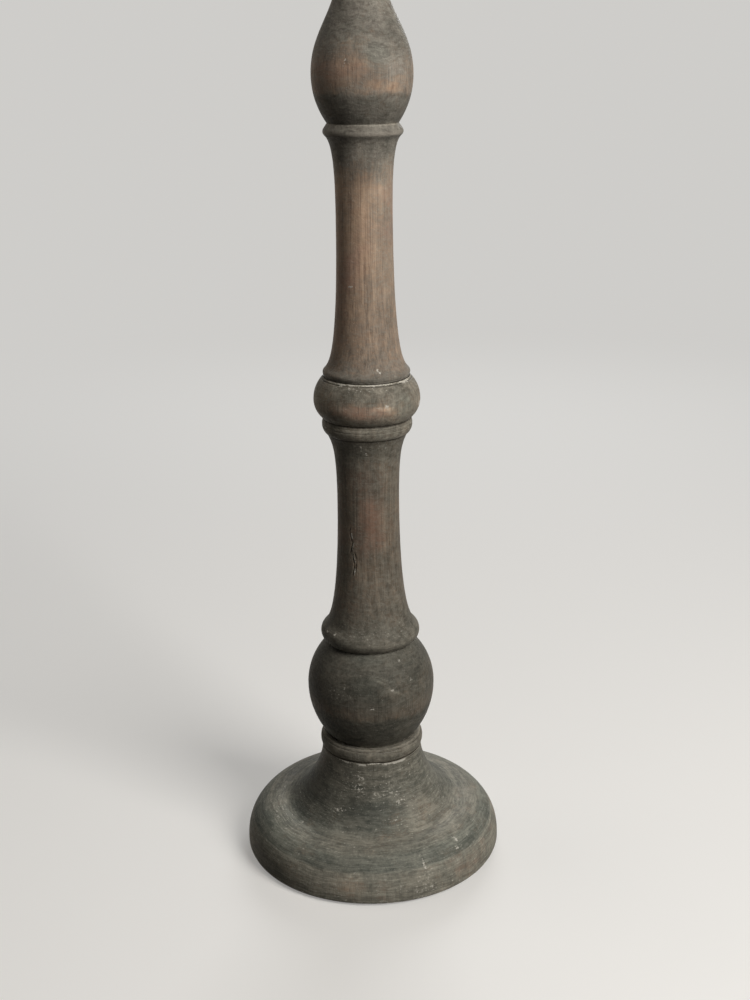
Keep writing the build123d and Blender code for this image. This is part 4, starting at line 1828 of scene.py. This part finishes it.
@dataclass
class Underside:
    """What holds and carries the foot: felt pads, washer and screw, and the dowel in the column.

    Attributes:
        rounding: Rounding of the pads' edges.
        nap: Unevenness of the felt.
        tuft: Width of that unevenness.
        seed: Picks it.
        fill: How tight the felt is; not used.
        sides: Points round each pad.
    """

    rounding: float = 0.45 * MM
    nap: float = 0.10 * MM
    tuft: float = 1.2 * MM
    seed: int = 91
    fill: float = 0.95
    sides: int = 96

    def build(self, frame: dict, effects: Effects) -> None:
        """Build the pads and dress the fasteners.

        Args:
            frame: The loaded frame.
            effects: The shared effects.
        """
        pads = self.pads(frame["nodes"]["foot_pads"])
        pads.data.materials.append(PressedFelt().material(effects))
        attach(pads, Body.STAND.value)
        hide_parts("foot_pads")
        log.info("felt_pads: %d points", len(pads.data.vertices))
        steel = PlatedSteel().material(effects)
        wood = DowelWood().material(effects)
        for node, material in (
            ("foot_screw", steel), ("foot_washer", steel), ("middle_dowel", wood)
        ):
            kept = frame["nodes"][node]
            kept.data.materials.clear()
            kept.data.materials.append(material)
            log.info("%s: kept, with %s", node, material.name)

    def pads(self, solid: bpy.types.Object) -> bpy.types.Object:
        """Press four soft pads into the places of the solid ones.

        Args:
            solid: The node with the four plain pads.

        Returns:
            One piece with four felt pads.
        """
        mesh = bmesh.new()
        mesh.from_mesh(solid.data)
        bmesh.ops.remove_doubles(mesh, verts=mesh.verts[:], dist=MERGE)
        points = np.array([vert.co[:] for vert in mesh.verts])
        mesh.free()
        top, bottom = points[:, 2].max(), points[:, 2].min()
        quarter = np.round(np.arctan2(points[:, 1], points[:, 0]) / (math.pi / 2)).astype(int) % 4
        made = bmesh.new()
        for number in range(4):
            own = points[quarter == number]
            middle = (own.min(axis=0) + own.max(axis=0)) / 2
            radius = float(np.ptp(own[:, 0]) / 2)
            self.press(made, middle[:2], radius, bottom, top)
        data = bpy.data.meshes.new("felt_pads")
        bmesh.ops.recalc_face_normals(made, faces=made.faces[:])
        made.to_mesh(data)
        made.free()
        data.polygons.foreach_set("use_smooth", np.ones(len(data.polygons), bool))
        piece = bpy.data.objects.new("felt_pads", data)
        bpy.context.scene.collection.objects.link(piece)
        return piece

    def press(
        self, mesh: bmesh.types.BMesh, middle: np.ndarray, radius: float, bottom: float, top: float
    ) -> None:
        """Add one pad with rounded, slightly uneven edges.

        Args:
            mesh: The mesh that it is added to.
            middle: Its centre, x and y.
            radius: Its radius.
            bottom: Height of its underside.
            top: Height of its upper side.
        """
        turns = np.linspace(-math.pi / 2, math.pi / 2, 9)
        centre, half = (bottom + top) / 2, (top - bottom) / 2
        side = [
            (radius - self.rounding * (1 - math.cos(turn)), centre + half * math.sin(turn))
            for turn in turns
        ]
        flat = [radius * share for share in (0.2, 0.4, 0.6, 0.8, 0.92)]
        below = [(reach, bottom) for reach in flat]
        above = [(reach, top) for reach in reversed(flat)]
        angle = np.linspace(0, 2 * math.pi, self.sides, endpoint=False)
        rings = []
        for reach, height in below + side + above:
            places = np.stack(
                [
                    middle[0] + reach * np.cos(angle),
                    middle[1] + reach * np.sin(angle),
                    np.full_like(angle, height),
                ],
                axis=-1,
            )
            fuzz = rough_noise(places, self.tuft, self.seed) * self.nap
            shrink = (reach - fuzz) / reach
            settle = np.where(height < centre, fuzz, -fuzz) * 0.5
            rings.append(
                [
                    mesh.verts.new(
                        (
                            middle[0] + reach * s * math.cos(a),
                            middle[1] + reach * s * math.sin(a),
                            height + d,
                        )
                    )
                    for s, a, d in zip(shrink, angle, settle)
                ]
            )
        for low, high in zip(rings, rings[1:]):
            for index in range(self.sides):
                beside = (index + 1) % self.sides
                mesh.faces.new((low[index], low[beside], high[beside], high[index]))
        mesh.faces.new(rings[0][::-1])
        mesh.faces.new(rings[-1])


@dataclass(frozen=True)
class SoftLamp:
    """A large lamp hung round the stand.

    Attributes:
        name: Its name.
        azimuth: Degrees round from the camera's side, growing to the right.
        elevation: Degrees above the level.
        distance: Distance from what it points at.
        width: Width of its face.
        tall: Height of its face.
        level: Light that it throws on a surface facing it, 1 where a colour renders as written.
        aim: Height on the column's axis that it points at.
        colour: Its tint.
    """

    name: str
    azimuth: float
    elevation: float
    distance: float
    width: float
    tall: float
    level: float
    aim: float
    colour: Colour = (1.0, 1.0, 1.0)

    def hang(self) -> None:
        """Hang the lamp and point it."""
        data = bpy.data.lights.new(self.name, "AREA")
        data.shape = "RECTANGLE"
        data.size, data.size_y = self.width, self.tall
        data.energy = self.level * (math.pi * self.distance) ** 2
        data.color = self.colour
        turn, rise = math.radians(self.azimuth), math.radians(self.elevation)
        away = Vector(
            (math.sin(turn) * math.cos(rise), -math.cos(turn) * math.cos(rise), math.sin(rise))
        )
        lamp = bpy.data.objects.new(self.name, data)
        lamp.location = Vector((0.0, 0.0, self.aim)) + away * self.distance
        lamp.rotation_mode = "QUATERNION"
        lamp.rotation_quaternion = away.to_track_quat("Z", "Y")
        bpy.context.scene.collection.objects.link(lamp)


@dataclass
class Studio:
    """Pale floor, soft lamps and the photograph's camera.

    Attributes:
        place: Where the camera stands.
        down: Degrees by which it looks down.
        roll: Degrees by which it is turned about its own line of sight.
        lens: Its focal length in millimetres, over the sensor's long side.
        floor_reach: Radius of the floor.
        floor: Colour of the floor.
        lift: Brightness that the floor shows of its own.
        far: Colour that the floor fades to.
        fade: Distances at which that fading starts and ends.
        bounce: Colour that the floor throws back at the stand.
        sky: Tint of the light from all round.
        ambient: Level of that light.
        lamps: The lamps.
    """

    place: tuple[float, float, float] = (0.004, -0.784, 0.4961)
    down: float = 18.81
    roll: float = -0.74
    lens: float = 49.93
    floor_reach: float = 9.0
    floor: Colour = (0.66, 0.645, 0.62)
    lift: float = 0.40
    far: Colour = (0.62, 0.61, 0.59)
    fade: tuple[float, float] = (0.35, 1.6)
    bounce: Colour = (0.07, 0.065, 0.06)
    sky: Colour = (0.97, 0.98, 1.0)
    ambient: float = 0.018
    lamps: tuple[SoftLamp, ...] = (
        SoftLamp("window_key", 46, 25, 1.2, 0.6, 0.8, 1.15, 0.40, (1.0, 0.985, 0.96)),
        SoftLamp("wall_fill", -105, 18, 0.5, 0.4, 0.3, 0.24, 0.58, (1.0, 0.94, 0.86)),
        SoftLamp("back_fill", 172, 20, 2.2, 1.2, 0.8, 0.50, 0.35, (0.96, 0.98, 1.0)),
    )

    def build(self) -> None:
        """Set up the floor, the world, the lamps and the camera."""
        self.lay_floor()
        self.light_world()
        for lamp in self.lamps:
            lamp.hang()
            log.info("%s: hung", lamp.name)
        self.stand_camera()
        bpy.context.scene.view_settings.view_transform = "Standard"

    def seen(self, bench: Bench) -> Socket:
        """Tell which rays show the floor or the world, straight or in a reflection.

        Args:
            bench: The bench of the floor's or the world's nodes.

        Returns:
            1 for those rays, 0 for the others.
        """
        path = bench.add("LightPath").outputs
        return bench.math(
            "MAXIMUM",
            path["Is Camera Ray"],
            bench.math("MAXIMUM", path["Is Glossy Ray"], path["Is Transmission Ray"]),
        )

    def lay_floor(self) -> None:
        """Lay a round pale floor that fades into the background."""
        mesh = bpy.data.meshes.new("floor")
        rim = bmesh.new()
        bmesh.ops.create_circle(rim, cap_ends=True, segments=96, radius=self.floor_reach)
        rim.to_mesh(mesh)
        rim.free()
        floor = bpy.data.objects.new("floor", mesh)
        bpy.context.scene.collection.objects.link(floor)
        material, bench, place = Finish.open("pale_floor")
        distance = bench.add("VectorMath", operation="LENGTH")
        bench.put(distance.inputs[0], place)
        seen = self.seen(bench)
        lit = bench.shader("BsdfDiffuse", Color=self.floor)
        lifted = bench.shader("Emission", Color=self.floor, Strength=self.lift)
        near = bench.shader("AddShader", lit, lifted)
        dim = bench.shader("BsdfDiffuse", Color=self.bounce)
        glow = bench.shader("Emission", Color=self.far)
        fade = bench.step(distance.outputs["Value"], *self.fade)
        pale = bench.shader("MixShader", fade, near, glow)
        both = bench.shader("MixShader", seen, dim, pale)
        bench.put(bench.add("OutputMaterial").inputs["Surface"], both)
        mesh.materials.append(material)

    def light_world(self) -> None:
        """Set the light from all round, and the pale background that the camera sees."""
        world = bpy.data.worlds.new("studio")
        world.use_nodes = True
        bench = Bench(world.node_tree)
        dim = bench.shader("Background", Color=self.sky, Strength=self.ambient)
        pale = bench.shader("Background", Color=self.far, Strength=1.0)
        both = bench.shader("MixShader", self.seen(bench), dim, pale)
        bench.put(bench.add("OutputWorld").inputs["Surface"], both)
        bpy.context.scene.world = world

    def stand_camera(self) -> None:
        """Stand the camera where the photograph was taken from."""
        data = bpy.data.cameras.new("camera")
        data.lens = self.lens
        data.sensor_width = SENSOR
        camera = bpy.data.objects.new("camera", data)
        tilt = Matrix.Rotation(math.radians(90.0 - self.down), 4, "X")
        roll = Matrix.Rotation(math.radians(self.roll), 4, "Z")
        camera.matrix_world = Matrix.Translation(self.place) @ tilt @ roll
        bpy.context.scene.collection.objects.link(camera)
        bpy.context.scene.camera = camera


def main() -> None:
    """Build the dressed candle stand and its studio."""
    logging.basicConfig(level=logging.INFO, format="%(message)s")
    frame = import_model()
    effects = Effects()
    Column().build(frame, effects)
    Ironwork().build(frame, effects)
    Underside().build(frame, effects)
    Studio().build()


if __name__ == "__main__":
    main()
